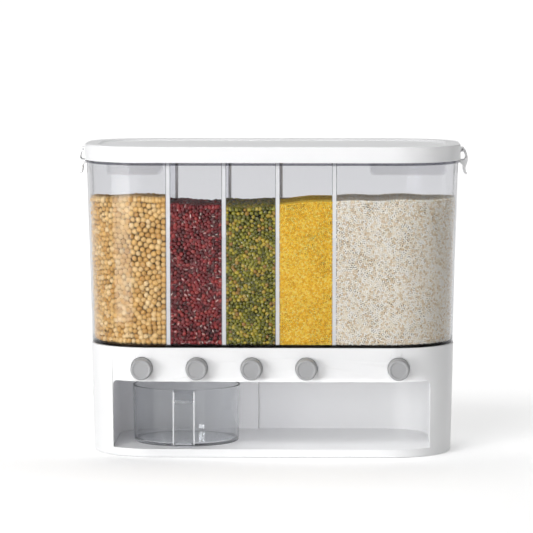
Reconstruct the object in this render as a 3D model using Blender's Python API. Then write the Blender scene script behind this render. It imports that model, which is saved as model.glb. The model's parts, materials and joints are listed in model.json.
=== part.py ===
"""Five-compartment cereal dispenser with press buttons, a lift-off lid and a measuring cup.

Metres, +Z up, the front towards -Y, the feet on z = 0. The shells are centred on the empty
"dispenser", which stands a little behind the origin because the buttons reach out in front.
"""

import math

import bmesh
import bpy
from mathutils import Matrix, Vector

GAP = 0.0003
ARC_STEPS = 10
SHARP_ANGLE = math.radians(35)

# Lid: the widest shell. Half sizes are along X and Y.
LID_HALF = (0.1850, 0.0875)
LID_RADIUS = 0.0670
LID_TOP_Z = 0.3040
LID_UNDER_Z = 0.2883
LID_WALL = 0.0022
LID_RIM_WIDTH = 0.0135
LID_PANEL_Z = 0.3020
LID_CEILING_Z = 0.2998

# Bin: a clear tapered shell with a flange under the lid and a spigot in the base.
BIN_WALL = 0.0020
BIN_FOOT_Z = 0.1083
BIN_FOOT_HALF = (0.1783, 0.0800)
BIN_FLANGE_Z = (0.2857, 0.2877)
BIN_TOP_HALF = (0.18275, 0.0852)
BIN_FLANGE_HALF = (0.1846, 0.0871)
BIN_NECK_HALF = (0.1824, 0.08485)
BIN_LIP_Z = 0.2960
BIN_RADIUS = 0.0640
SPIGOT_Z = 0.1020
SPIGOT_HALF = (0.1761, 0.0778)

# Base: a tapered skirt with a serving bay open to the front.
BASE_TOP_Z = 0.1080
BASE_FOOT_Z = 0.0004
BASE_TOP_HALF = (0.1789, 0.0806)
BASE_FOOT_HALF = (0.1765, 0.0781)
BASE_RADIUS = 0.0630
BASE_WALL = 0.0022
BASE_EDGE = 0.0009

BAY_HALF_X = 0.1548
BAY_FLOOR_Z = 0.0085
BAY_TOP_Z = 0.0750
BAY_BACK_Y = 0.0736
BAY_STEP_X = -0.0160
BAY_STEP_Y = 0.0706
BAY_REAR_RADIUS = 0.0400
BAY_WALL = 0.0018
WINDOW_CORNER = 0.0045

DECK_THICK = 0.0020
COVER_Z = (0.0014, 0.0036)
FOOT_RADIUS = 0.0060
FOOT_TOP_Z = 0.0011
FOOT_AT = (0.1400, 0.0480)
SCREW_AT = (0.1640, 0.0330)
SCREW_HEAD_RADIUS = 0.0033
SCREW_SHANK_RADIUS = 0.0014
SCREW_HEAD_Z = (0.0015, 0.0024)
SCREW_TIP_Z = 0.0120
BOSS_RADIUS = 0.0040

# The dividers and the outlets set the five compartments, from left to right.
DIVIDER_X = (-0.1000, -0.0459, 0.0062, 0.0611)
OUTLET_X = (-0.1260, -0.0724, -0.0191, 0.0342, 0.1238)
GRAIN_TOP_Z = (0.2550, 0.2475, 0.2460, 0.2500, 0.2520)
DIVIDER_WEB = 0.0016
DIVIDER_BEAD = (0.0046, 0.0016)
DIVIDER_Z = (0.1107, 0.2957)

HOPPER_RIM_Z = 0.1076
HOPPER_HALF = (0.1730, 0.0754)
HOPPER_RADIUS = 0.0580
HOPPER_WALL = 0.0015
THROAT_HALF = (0.0120, 0.0055)
THROAT_Y = 0.0025
THROAT_Z = 0.0848
HOPPER_FOOT_Z = (0.0797, 0.0812)
HOPPER_FOOT_HALF = (0.0200, 0.0140)

# Press mechanism of one compartment, along Y. Its travel of 11 mm brings the gate's window
# over the throat.
BUTTON_Z = 0.0880
BUTTON_FRONT_Y = -0.0935
BUTTON_RADIUS = 0.0105
BUTTON_HOLE_RADIUS = 0.0110
BUTTON_REAR_Y = -0.0768
STEM_RADIUS = 0.0050
STEM_REAR_Y = -0.0683
GATE_Z = (0.0773, 0.0793)
GATE_HALF_X = 0.0175
GATE_WINDOW_HALF_X = 0.0135
GATE_Y = (-0.0680, 0.0120)
GATE_WINDOW_Y = (-0.0620, -0.0035)
LUG_THICK = 0.0025
LUG_TOP_Z = 0.0935
RAIL_X = (0.0182, 0.0202)
SPRING_Z = 0.0865
SPRING_RADIUS = 0.0042
SPRING_WIRE = 0.0005
SPRING_TURNS = 4.5
POST_Y = (-0.0380, -0.0355)
POST_HALF_X = 0.0060
POST_TOP_Z = 0.0915

# Latches: one on each end of the lid, on a pin along Y.
LATCH_PIN = (0.1874, 0.2976)
LATCH_PIN_RADIUS = 0.0009
LATCH_HOLE_RADIUS = 0.00115
LATCH_HALF_WIDTH = 0.0090
LATCH_NECK_HALF_WIDTH = 0.0060
LATCH_NECK_Z = 0.2946
EAR_Y = (0.0063, 0.0088)
EAR_RADIUS = 0.0022

# Measuring cup.
CUP_CENTRE = (-0.0854, -0.0120)
CUP_BASE_Z = 0.0088
CUP_RIM_Z = 0.0650
CUP_RIM_RADIUS = 0.0533
CUP_BASE_RADIUS = 0.0518
CUP_WALL = 0.0020
CUP_SEGMENTS = 44
CUP_HANDLE_HALF_WIDTH = 0.0107
CUP_HANDLE_FRONT_Y = -0.0773

DESICCANT = {"left": (-0.1635, -0.1100), "right": (0.0960, 0.1710)}
DESICCANT_HALF_Y = 0.0300
DESICCANT_Z = (0.2730, 0.2995)
DESICCANT_WALL = 0.0012
DESICCANT_RADIUS = 0.0080

BODY_Y = -(BUTTON_FRONT_Y + LID_HALF[1]) / 2


# ---------------------------------------------------------------- meshes


def arc(centre_x, centre_y, radius, first_deg, steps=ARC_STEPS):
    """Points of a quarter circle, or the one corner point when the radius is zero."""
    if radius == 0:
        return [(centre_x, centre_y)]
    angles = [math.radians(first_deg + 90 * k / steps) for k in range(steps + 1)]
    return [(centre_x + radius * math.cos(a), centre_y + radius * math.sin(a)) for a in angles]


def slab_ring(x_low, x_high, half_y, radius_low, radius_high, z):
    """A level rectangle from x_low to x_high whose two ends have their own corner radii."""
    plan = arc(x_high - radius_high, half_y - radius_high, radius_high, 0)
    plan += arc(x_low + radius_low, half_y - radius_low, radius_low, 90)
    plan += arc(x_low + radius_low, radius_low - half_y, radius_low, 180)
    plan += arc(x_high - radius_high, radius_high - half_y, radius_high, 270)
    return [Vector((x, y, z)) for x, y in plan]


def shell_ring(half, radius, z, inset=0.0):
    """A level rounded rectangle, moved inwards by the inset."""
    half_x, half_y = half[0] - inset, half[1] - inset
    corner = radius - inset
    return slab_ring(-half_x, half_x, half_y, corner, corner, z)


def circle_ring(centre, radius, z, segments):
    """A level circle."""
    angles = [2 * math.pi * k / segments for k in range(segments)]
    x, y = centre
    return [Vector((x + radius * math.cos(a), y + radius * math.sin(a), z)) for a in angles]


def between(low, high, share):
    """The point that lies the given share of the way from low to high."""
    return tuple(a + (b - a) * share for a, b in zip(low, high))


def base_half(z):
    return between(BASE_FOOT_HALF, BASE_TOP_HALF, (z - BASE_FOOT_Z) / (BASE_TOP_Z - BASE_FOOT_Z))


def bin_half(z):
    return between(BIN_FOOT_HALF, BIN_TOP_HALF, (z - BIN_FOOT_Z) / (BIN_FLANGE_Z[0] - BIN_FOOT_Z))


def loft(rings, looped=False):
    """A closed mesh through rings of equal length, capped at both ends or looped to the first."""
    bm = bmesh.new()
    loops = [[bm.verts.new(p) for p in ring] for ring in rings]
    pairs = list(zip(loops, loops[1:]))
    if looped:
        pairs.append((loops[-1], loops[0]))
    else:
        bm.faces.new(loops[0])
        bm.faces.new(loops[-1])
    for low, high in pairs:
        for k in range(len(low)):
            n = (k + 1) % len(low)
            bm.faces.new((low[k], low[n], high[n], high[k]))
    return finished_mesh(bm)


def finished_mesh(bm):
    """A mesh of the bmesh with its faces turned outwards and its round surfaces smooth."""
    bm.normal_update()
    bmesh.ops.recalc_face_normals(bm, faces=bm.faces)
    mesh = bpy.data.meshes.new("shape")
    bm.to_mesh(mesh)
    bm.free()
    mesh.shade_smooth()
    mesh.set_sharp_from_angle(angle=SHARP_ANGLE)
    return mesh


def prism(outline, axis, low, high):
    """The outline extruded along X, Y or Z. Its two coordinates are the other axes in order."""
    place = {
        "X": lambda a, b, t: Vector((t, a, b)),
        "Y": lambda a, b, t: Vector((a, t, b)),
        "Z": lambda a, b, t: Vector((a, b, t)),
    }[axis]
    return loft([[place(a, b, t) for a, b in outline] for t in (low, high)])


def box(x, y, z):
    """A block between the two values given for each axis."""
    corners = [(x[0], y[0]), (x[1], y[0]), (x[1], y[1]), (x[0], y[1])]
    return prism(corners, "Z", z[0], z[1])


def turned(profile, segments, axis_point=(0.0, 0.0)):
    """A solid of revolution about a vertical axis through (radius, z) points, capped at both ends."""
    return loft([circle_ring(axis_point, radius, z, segments) for radius, z in profile])


def joined(meshes):
    """One mesh that holds several closed bodies, for use as a Boolean operand."""
    bm = bmesh.new()
    for mesh in meshes:
        bm.from_mesh(mesh)
    return finished_mesh(bm)


def mirrored(mesh):
    """The mesh reflected across the plane x = 0."""
    bm = bmesh.new()
    bm.from_mesh(mesh)
    bm.transform(Matrix.Scale(-1, 4, (1, 0, 0)))
    return finished_mesh(bm)


def smooth_outline(points, steps=3):
    """A closed Catmull-Rom curve through the points."""
    found = []
    count = len(points)
    for k in range(count):
        p = [Vector(points[(k + i) % count]) for i in (-1, 0, 1, 2)]
        for s in range(steps):
            t = s / steps
            a = p[1] * 2 + (p[2] - p[0]) * t
            b = (p[0] * 2 - p[1] * 5 + p[2] * 4 - p[3]) * t * t
            c = (p[1] * 3 - p[0] - p[2] * 3 + p[3]) * t ** 3
            found.append(tuple((a + b + c) / 2))
    return found


# ---------------------------------------------------------------- objects


def clear_scene():
    for thing in list(bpy.data.objects):
        bpy.data.objects.remove(thing, do_unlink=True)


def make_material(name, colour, roughness, alpha=1.0, metallic=0.0):
    material = bpy.data.materials.new(name)
    material.use_nodes = True
    shader = material.node_tree.nodes["Principled BSDF"]
    shader.inputs["Base Color"].default_value = (*colour, 1.0)
    shader.inputs["Roughness"].default_value = roughness
    shader.inputs["Metallic"].default_value = metallic
    shader.inputs["Alpha"].default_value = alpha
    return material


def place(name, mesh, material, parent, origin=(0.0, 0.0, 0.0)):
    """Adds an object whose mesh, given about the shells' centre, turns and slides about the origin."""
    mesh.transform(Matrix.Translation(-Vector(origin)))
    mesh.materials.clear()
    mesh.materials.append(material)
    thing = bpy.data.objects.new(name, mesh)
    thing.parent = parent
    thing.location = origin
    bpy.context.scene.collection.objects.link(thing)
    return thing


def combine(target, mesh, operation, parent):
    """Adds a Boolean to the target with a hidden operand, given about the shells' centre."""
    tool = bpy.data.objects.new(f"{target.name}_{operation.lower()}", mesh)
    tool.parent = parent
    tool.hide_render = True
    tool.display_type = "WIRE"
    bpy.context.scene.collection.objects.link(tool)
    modifier = target.modifiers.new(operation.title(), "BOOLEAN")
    modifier.operation = operation
    modifier.object = tool


# ---------------------------------------------------------------- base


def button_holes():
    """Cylinders along Y that cut the five button holes in the front wall."""
    holes = []
    for x in OUTLET_X:
        circle = [(p.x, p.y) for p in circle_ring((x, BUTTON_Z), BUTTON_HOLE_RADIUS, 0, 28)]
        holes.append(prism(circle, "Y", -0.090, -0.070))
    return holes


def bay_window():
    """The front opening of the serving bay, with rounded upper corners."""
    r = WINDOW_CORNER
    outline = [(-BAY_HALF_X, BAY_FLOOR_Z), (BAY_HALF_X, BAY_FLOOR_Z)]
    outline += arc(BAY_HALF_X - r, BAY_TOP_Z - r, r, 0, 4)
    outline += arc(r - BAY_HALF_X, BAY_TOP_Z - r, r, 90, 4)
    return prism(outline, "Y", -0.090, -0.045)


def build_base_shell(white, parent):
    foot, top = BASE_FOOT_HALF, BASE_TOP_HALF
    rings = [
        shell_ring(foot, BASE_RADIUS, BASE_FOOT_Z, BASE_EDGE),
        shell_ring(foot, BASE_RADIUS, BASE_FOOT_Z + BASE_EDGE),
        shell_ring(top, BASE_RADIUS, BASE_TOP_Z - BASE_EDGE / 2),
        shell_ring(top, BASE_RADIUS, BASE_TOP_Z, BASE_EDGE / 2),
        shell_ring(top, BASE_RADIUS, BASE_TOP_Z, BASE_WALL),
        shell_ring(foot, BASE_RADIUS, BASE_FOOT_Z, BASE_WALL),
    ]
    shell = place("base_shell", loft(rings, looped=True), white, parent)
    combine(shell, joined([bay_window()] + button_holes()), "DIFFERENCE", parent)


def bay_outline(outset, front_y, step):
    """Plan of the bay, open-ended at the front, with the shallow step in its back wall."""
    half_x = BAY_HALF_X + outset
    back = BAY_BACK_Y + outset
    r = BAY_REAR_RADIUS + outset
    plan = [(-half_x, front_y), (half_x, front_y)]
    plan += arc(half_x - r, back - r, r, 0)
    if step:
        plan += [(BAY_STEP_X, back), (BAY_STEP_X, BAY_STEP_Y)]
        back = BAY_STEP_Y
    plan += arc(r - half_x, back - r, r, 90)
    return plan


def shell_interior():
    """The tapered space inside the base shell, a gap smaller all round."""
    inset = BASE_WALL + GAP
    heights = (BASE_FOOT_Z, BASE_TOP_Z)
    return loft([shell_ring(base_half(z), BASE_RADIUS, z, inset) for z in heights])


def build_serving_bay(white, parent):
    floor_z = BAY_FLOOR_Z - DECK_THICK
    block = prism(bay_outline(BAY_WALL, -0.100, False), "Z", floor_z, BAY_TOP_Z - GAP)
    bay = place("serving_bay", block, white, parent)
    combine(bay, shell_interior(), "INTERSECT", parent)
    hollow = prism(bay_outline(0.0, -0.110, True), "Z", BAY_FLOOR_Z, 0.100)
    combine(bay, hollow, "DIFFERENCE", parent)


def outlet_cutters():
    """Blocks that open the five outlets through the deck."""
    y = (THROAT_Y - THROAT_HALF[1], THROAT_Y + THROAT_HALF[1])
    return [box((x - THROAT_HALF[0], x + THROAT_HALF[0]), y, (0.070, 0.080)) for x in OUTLET_X]


def screw_places():
    return [(sx * SCREW_AT[0], sy * SCREW_AT[1]) for sx in (-1, 1) for sy in (-1, 1)]


def deck_fittings():
    """Gate rails and spring posts on the deck, and the screw bosses under it."""
    deck_top = BAY_TOP_Z + DECK_THICK
    parts = []
    for x in OUTLET_X:
        for side in (-1, 1):
            rail = sorted((x + side * RAIL_X[0], x + side * RAIL_X[1]))
            parts.append(box(rail, (GATE_WINDOW_Y[0], 0.028), (deck_top - 0.001, GATE_Z[1])))
        post = (x - POST_HALF_X, x + POST_HALF_X)
        parts.append(box(post, POST_Y, (deck_top - 0.001, POST_TOP_Z)))
    for centre in screw_places():
        boss = [(BOSS_RADIUS, COVER_Z[1] + GAP), (BOSS_RADIUS, BAY_TOP_Z + 0.001)]
        parts.append(turned(boss, 14, centre))
    return parts


def build_outlet_deck(white, parent):
    half = tuple(h - BASE_WALL - GAP for h in base_half(BAY_TOP_Z))
    radius = BASE_RADIUS - BASE_WALL
    plate = loft([shell_ring(half, radius, z) for z in (BAY_TOP_Z, BAY_TOP_Z + DECK_THICK)])
    deck = place("outlet_deck", plate, white, parent)
    combine(deck, joined(deck_fittings()), "UNION", parent)
    bore = [(SCREW_SHANK_RADIUS + GAP, 0.0), (SCREW_SHANK_RADIUS + GAP, SCREW_TIP_Z + 0.002)]
    pilots = [turned(bore, 12, centre) for centre in screw_places()]
    combine(deck, joined(outlet_cutters() + pilots), "DIFFERENCE", parent)


def build_bottom_cover(white, parent):
    half = tuple(h - BASE_WALL - GAP for h in BASE_FOOT_HALF)
    plate = loft([shell_ring(half, BASE_RADIUS - BASE_WALL, z) for z in COVER_Z])
    cover = place("bottom_cover", plate, white, parent)
    head = SCREW_HEAD_RADIUS + GAP
    shank = SCREW_SHANK_RADIUS + GAP
    seat_z = SCREW_HEAD_Z[1] + GAP
    hole = [(head, 0.0), (head, seat_z), (shank, seat_z), (shank, 0.010)]
    combine(cover, joined([turned(hole, 16, c) for c in screw_places()]), "DIFFERENCE", parent)


def build_feet_and_screws(rubber, steel, parent):
    corners = ("rear_left", "front_left", "rear_right", "front_right")
    signs = ((-1, 1), (-1, -1), (1, 1), (1, -1))
    for corner, (sx, sy) in zip(corners, signs):
        centre = (sx * FOOT_AT[0], sy * FOOT_AT[1])
        pad = [(FOOT_RADIUS - 0.0003, 0.0), (FOOT_RADIUS, 0.0003), (FOOT_RADIUS, FOOT_TOP_Z)]
        place(f"foot_{corner}", turned(pad, 20, centre), rubber, parent)
        centre = (sx * SCREW_AT[0], sy * SCREW_AT[1])
        low, high = SCREW_HEAD_Z
        screw = [
            (SCREW_HEAD_RADIUS - 0.0006, low),
            (SCREW_HEAD_RADIUS, low + 0.0004),
            (SCREW_HEAD_RADIUS, high),
            (SCREW_SHANK_RADIUS, high),
            (SCREW_SHANK_RADIUS, SCREW_TIP_Z - 0.001),
            (SCREW_SHANK_RADIUS / 2, SCREW_TIP_Z),
        ]
        place(f"screw_{corner}", turned(screw, 12, centre), steel, parent)


# ---------------------------------------------------------------- compartments


def compartment(number):
    """The low and high X of a compartment's space at the hopper rim, and its end radii."""
    edges = (-HOPPER_HALF[0],) + DIVIDER_X + (HOPPER_HALF[0],)
    radius_low = HOPPER_RADIUS if number == 0 else 0.0
    radius_high = HOPPER_RADIUS if number == len(DIVIDER_X) else 0.0
    low = edges[number] + (GAP if number > 0 else 0.0)
    high = edges[number + 1] - (GAP if number < len(DIVIDER_X) else 0.0)
    return low, high, radius_low, radius_high


def hopper_ring(number, half, z):
    """The compartment's outline shrunk to the given half sizes and moved over its outlet."""
    low, high, radius_low, radius_high = compartment(number)
    rim = slab_ring(low, high, HOPPER_HALF[1], radius_low, radius_high, z)
    scale_x = 2 * half[0] / (high - low)
    scale_y = half[1] / HOPPER_HALF[1]
    middle = (low + high) / 2
    return [
        Vector((OUTLET_X[number] + (p.x - middle) * scale_x, THROAT_Y + p.y * scale_y, z))
        for p in rim
    ]


def rim_ring(number, inset, z):
    """The compartment's outline at the hopper rim, moved inwards."""
    low, high, radius_low, radius_high = compartment(number)
    corners = [max(r - inset, 0.0) for r in (radius_low, radius_high)]
    return slab_ring(low + inset, high - inset, HOPPER_HALF[1] - inset, *corners, z)


def build_hopper(number, white, parent):
    outer = tuple(h + HOPPER_WALL for h in THROAT_HALF)
    rings = [
        rim_ring(number, 0.0, HOPPER_RIM_Z),
        hopper_ring(number, outer, THROAT_Z - 0.0012),
        hopper_ring(number, outer, HOPPER_FOOT_Z[1]),
        hopper_ring(number, HOPPER_FOOT_HALF, HOPPER_FOOT_Z[1]),
        hopper_ring(number, HOPPER_FOOT_HALF, HOPPER_FOOT_Z[0]),
        hopper_ring(number, THROAT_HALF, HOPPER_FOOT_Z[0]),
        hopper_ring(number, THROAT_HALF, THROAT_Z),
        rim_ring(number, HOPPER_WALL, HOPPER_RIM_Z),
    ]
    place(f"hopper_{number + 1}", loft(rings, looped=True), white, parent)


def bin_ring(number, z):
    """The space between a compartment's dividers and the bin's walls, for its grain."""
    half = tuple(h - BIN_WALL - 2 * GAP for h in bin_half(z))
    bead = DIVIDER_BEAD[0] / 2 + GAP
    edges = (-half[0],) + DIVIDER_X + (half[0],)
    last = len(DIVIDER_X)
    corner = BIN_RADIUS - BIN_WALL - 2 * GAP
    low = edges[number] + (bead if number > 0 else 0.0)
    high = edges[number + 1] - (bead if number < last else 0.0)
    radii = (corner if number == 0 else 0.0, corner if number == last else 0.0)
    return slab_ring(low, high, half[1], *radii, z)


def build_grain(number, material, parent):
    slack = 2 * GAP
    throat = tuple(h - slack for h in THROAT_HALF)
    rings = [
        hopper_ring(number, throat, HOPPER_FOOT_Z[0] + GAP),
        hopper_ring(number, throat, THROAT_Z + GAP),
        rim_ring(number, HOPPER_WALL + 0.0030, HOPPER_RIM_Z),
        bin_ring(number, BIN_FOOT_Z + BIN_WALL + GAP),
        bin_ring(number, GRAIN_TOP_Z[number]),
    ]
    place(f"grain_{number + 1}", loft(rings), material, parent)


def build_divider(number, clear, parent):
    """A plate with a bead along its front and rear edges, tapered like the bin."""
    x = DIVIDER_X[number]
    web, bead = DIVIDER_WEB / 2, DIVIDER_BEAD[0] / 2
    rings = []
    for z, half in zip(DIVIDER_Z, (BIN_FOOT_HALF, BIN_NECK_HALF)):
        end = half[1] - BIN_WALL - GAP
        neck = end - DIVIDER_BEAD[1]
        side = [(bead, end), (bead, neck), (web, neck), (web, -neck), (bead, -neck), (bead, -end)]
        back = [(-a, b) for a, b in reversed(side)]
        rings.append([Vector((x + a, b, z)) for a, b in side + back])
    place(f"divider_{number + 1}", loft(rings), clear, parent)


# ---------------------------------------------------------------- press mechanism


def build_button(number, grey, steel, white, parent):
    """A button, the gate that it pushes back and the spring that returns them."""
    x = OUTLET_X[number]
    front, rear, stem = BUTTON_FRONT_Y, BUTTON_REAR_Y, STEM_REAR_Y
    profile = [
        (BUTTON_RADIUS - 0.0042, front + 0.0006),
        (BUTTON_RADIUS - 0.0026, front),
        (BUTTON_RADIUS - 0.0019, front + 0.0002),
        (BUTTON_RADIUS - 0.0014, front + 0.0010),
        (BUTTON_RADIUS, rear - 0.0040),
        (BUTTON_RADIUS, rear),
        (STEM_RADIUS, rear),
        (STEM_RADIUS, stem),
    ]
    body = turned(profile, 24)
    body.transform(Matrix.Rotation(math.radians(-90), 4, "X"))
    body.transform(Matrix.Translation((x, 0, BUTTON_Z)))
    place(f"button_{number + 1}", body, grey, parent, (x, front, BUTTON_Z))
    build_gate(number, white, parent)
    build_spring(number, steel, parent)


def build_gate(number, white, parent):
    """A sliding frame with a lug behind the button, and a tongue that shuts the outlet."""
    x = OUTLET_X[number]
    front, rear = GATE_Y
    low, high = GATE_Z
    lug = front + LUG_THICK
    outline = [(front, low), (rear, low), (rear, high), (lug, high)]
    outline += [(lug, LUG_TOP_Z), (front, LUG_TOP_Z)]
    side = prism(outline, "X", x - GATE_HALF_X, x + GATE_HALF_X)
    gate = place(f"gate_{number + 1}", side, white, parent, (x, front, low))
    window_x = (x - GATE_WINDOW_HALF_X, x + GATE_WINDOW_HALF_X)
    combine(gate, box(window_x, GATE_WINDOW_Y, (low - 0.001, high + 0.001)), "DIFFERENCE", parent)


def build_spring(number, steel, parent):
    """A helical spring between the gate's lug and the deck's post."""
    start = GATE_Y[0] + LUG_THICK + GAP + SPRING_WIRE
    length = POST_Y[0] - GAP - SPRING_WIRE - start
    count = round(SPRING_TURNS * 10)
    curve = bpy.data.curves.new("spring", "CURVE")
    curve.dimensions = "3D"
    curve.bevel_depth = SPRING_WIRE
    curve.bevel_resolution = 1
    curve.use_fill_caps = True
    spline = curve.splines.new("POLY")
    spline.points.add(count)
    for k in range(count + 1):
        turn = 2 * math.pi * SPRING_TURNS * k / count
        radial = (SPRING_RADIUS * math.cos(turn), SPRING_RADIUS * math.sin(turn))
        spline.points[k].co = (radial[0], length * k / count, radial[1], 1.0)
    curve.materials.append(steel)
    spring = bpy.data.objects.new(f"spring_{number + 1}", curve)
    spring.parent = parent
    spring.location = (OUTLET_X[number], start, SPRING_Z)
    bpy.context.scene.collection.objects.link(spring)


# ---------------------------------------------------------------- bin and lid


def build_bin(clear, parent):
    low_flange, high_flange = BIN_FLANGE_Z
    spigot_radius = BASE_RADIUS - BASE_WALL - GAP
    rings = [
        shell_ring(SPIGOT_HALF, spigot_radius, SPIGOT_Z),
        shell_ring(SPIGOT_HALF, spigot_radius, BIN_FOOT_Z),
        shell_ring(BIN_FOOT_HALF, BIN_RADIUS, BIN_FOOT_Z),
        shell_ring(BIN_TOP_HALF, BIN_RADIUS, low_flange),
        shell_ring(BIN_FLANGE_HALF, LID_RADIUS, low_flange),
        shell_ring(BIN_FLANGE_HALF, LID_RADIUS, high_flange),
        shell_ring(BIN_NECK_HALF, BIN_RADIUS, high_flange),
        shell_ring(BIN_NECK_HALF, BIN_RADIUS, BIN_LIP_Z),
        shell_ring(BIN_NECK_HALF, BIN_RADIUS, BIN_LIP_Z, BIN_WALL),
        shell_ring(BIN_TOP_HALF, BIN_RADIUS, low_flange, BIN_WALL),
        shell_ring(BIN_FOOT_HALF, BIN_RADIUS, BIN_FOOT_Z + BIN_WALL, BIN_WALL),
        shell_ring(SPIGOT_HALF, spigot_radius, BIN_FOOT_Z, BIN_WALL),
        shell_ring(SPIGOT_HALF, spigot_radius, SPIGOT_Z, BIN_WALL),
    ]
    shell = place("bin_shell", loft(rings, looped=True), clear, parent)
    notch_y = (-LATCH_HALF_WIDTH - 0.0010, LATCH_HALF_WIDTH + 0.0010)
    wall_x = BIN_TOP_HALF[0] + GAP / 2
    notch = box((wall_x, 0.190), notch_y, (low_flange - 0.002, high_flange + 0.0004))
    combine(shell, joined([notch, mirrored(notch)]), "DIFFERENCE", parent)


def ear_outline():
    """A hinge ear in XZ: a strip from the lid's skirt with a round end about the pin."""
    pin_x, pin_z = LATCH_PIN
    root = LID_HALF[0] - LID_WALL / 2
    ends = [math.radians(a) for a in range(-90, 91, 30)]
    nose = [(pin_x + EAR_RADIUS * math.cos(a), pin_z + EAR_RADIUS * math.sin(a)) for a in ends]
    return [(root, pin_z - EAR_RADIUS - 0.0006)] + nose + [(root, pin_z + EAR_RADIUS + 0.0006)]


def pin_rod(radius, half_length):
    """A cylinder along Y on the right latch's axis."""
    circle = [(p.x, p.y) for p in circle_ring(LATCH_PIN, radius, 0, 14)]
    return prism(circle, "Y", -half_length, half_length)


def build_lid(white, parent):
    rim_inner = LID_RIM_WIDTH
    rings = [
        shell_ring(LID_HALF, LID_RADIUS, LID_PANEL_Z, rim_inner + 0.0016),
        shell_ring(LID_HALF, LID_RADIUS, LID_TOP_Z - 0.0003, rim_inner + 0.0003),
        shell_ring(LID_HALF, LID_RADIUS, LID_TOP_Z, rim_inner - 0.0006),
        shell_ring(LID_HALF, LID_RADIUS, LID_TOP_Z, 0.0016),
        shell_ring(LID_HALF, LID_RADIUS, LID_TOP_Z - 0.0005, 0.0005),
        shell_ring(LID_HALF, LID_RADIUS, LID_TOP_Z - 0.0016),
        shell_ring(LID_HALF, LID_RADIUS, LID_UNDER_Z),
        shell_ring(LID_HALF, LID_RADIUS, LID_UNDER_Z, LID_WALL),
        shell_ring(LID_HALF, LID_RADIUS, LID_CEILING_Z, LID_WALL),
    ]
    lid = place("lid", loft(rings), white, parent)
    ears = [prism(ear_outline(), "Y", *EAR_Y), prism(ear_outline(), "Y", -EAR_Y[1], -EAR_Y[0])]
    ears += [mirrored(ear) for ear in ears]
    combine(lid, joined(ears), "UNION", parent)
    hole = pin_rod(LATCH_HOLE_RADIUS, 0.020)
    combine(lid, joined([hole, mirrored(hole)]), "DIFFERENCE", parent)


def build_gasket(silicone, parent):
    outer, inner = LID_WALL + 0.0008, LID_WALL + 0.0046
    low, high = BIN_LIP_Z + GAP, LID_CEILING_Z - GAP
    corners = [(outer, low), (outer, high), (inner, high), (inner, low)]
    rings = [shell_ring(LID_HALF, LID_RADIUS, z, inset) for inset, z in corners]
    place("lid_gasket", loft(rings, looped=True), silicone, parent)


def build_desiccant_box(side, frosted, parent):
    """A shallow box for a drying sachet, open towards the lid that it hangs from."""
    low, high = DESICCANT[side]
    bottom, top = DESICCANT_Z
    r, wall = DESICCANT_RADIUS, DESICCANT_WALL

    def ring(inset, z):
        corner = r - inset
        return slab_ring(low + inset, high - inset, DESICCANT_HALF_Y - inset, corner, corner, z)

    rings = [
        ring(0.0035, bottom),
        ring(0.0010, bottom + 0.0010),
        ring(0.0, bottom + 0.0035),
        ring(0.0, top),
        ring(wall, top),
        ring(wall, bottom + 0.0042),
        ring(0.0042, bottom + wall),
    ]
    place(f"desiccant_box_{side}", loft(rings), frosted, parent)


def latch_outline():
    """Side view of the right latch in XZ: a barrel, a bowed arm, a hook and a finger tab."""
    points = [
        (0.1854, 0.2984),
        (0.1868, 0.2998),
        (0.1888, 0.2994),
        (0.1908, 0.2964),
        (0.1924, 0.2912),
        (0.1926, 0.2868),
        (0.1914, 0.2828),
        (0.1904, 0.2792),
        (0.1911, 0.2762),
        (0.1921, 0.2741),
        (0.1908, 0.2729),
        (0.1890, 0.2745),
        (0.1880, 0.2785),
        (0.1880, 0.2812),
        (0.1858, 0.2838),
        (0.1836, 0.2857),
        (0.1838, 0.2868),
        (0.1868, 0.2873),
        (0.1896, 0.2878),
        (0.1904, 0.2900),
        (0.1896, 0.2940),
        (0.1878, 0.2956),
        (0.1860, 0.2962),
    ]
    return smooth_outline(points)


def build_latch(side, white, steel, parent):
    sign = 1 if side == "right" else -1
    origin = (sign * LATCH_PIN[0], 0.0, LATCH_PIN[1])
    body = prism(latch_outline(), "Y", -LATCH_HALF_WIDTH, LATCH_HALF_WIDTH)
    clear_z = (LATCH_NECK_Z, 0.310)
    clear_x = (0.180, 0.200)
    cuts = [
        box(clear_x, (LATCH_NECK_HALF_WIDTH, 0.020), clear_z),
        box(clear_x, (-0.020, -LATCH_NECK_HALF_WIDTH), clear_z),
    ]
    hole = pin_rod(LATCH_HOLE_RADIUS, 0.020)
    pin = pin_rod(LATCH_PIN_RADIUS, EAR_Y[1])
    if sign < 0:
        body, hole, pin = (mirrored(shape) for shape in (body, hole, pin))
        cuts = [mirrored(cut) for cut in cuts]
    latch = place(f"latch_{side}", body, white, parent, origin)
    combine(latch, joined(cuts), "DIFFERENCE", parent)
    combine(latch, hole, "DIFFERENCE", parent)
    place(f"latch_pin_{side}", pin, steel, parent, origin)


# ---------------------------------------------------------------- measuring cup


def handle_outline():
    """Side view of the cup's strap handle in YZ: a rounded C from the rim to the foot."""
    front, thick, r = CUP_HANDLE_FRONT_Y, 0.0026, 0.0045
    high, low = CUP_RIM_Z - 0.0002, CUP_BASE_Z + 0.0014
    upper_root = CUP_CENTRE[1] - CUP_RIM_RADIUS + 0.0018
    lower_root = CUP_CENTRE[1] - CUP_BASE_RADIUS + 0.0014
    outside = arc(front + r, high - r, r, 90, 4) + arc(front + r, low + r, r, 180, 4)
    inner = r - thick + 0.0008
    inside = arc(front + r, high - r, inner, 90, 4) + arc(front + r, low + r, inner, 180, 4)
    outline = [(upper_root, high)] + outside + [(lower_root, low)]
    step = r - inner
    outline += [(lower_root, low + step)] + inside[::-1] + [(upper_root, high - step)]
    return outline


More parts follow.
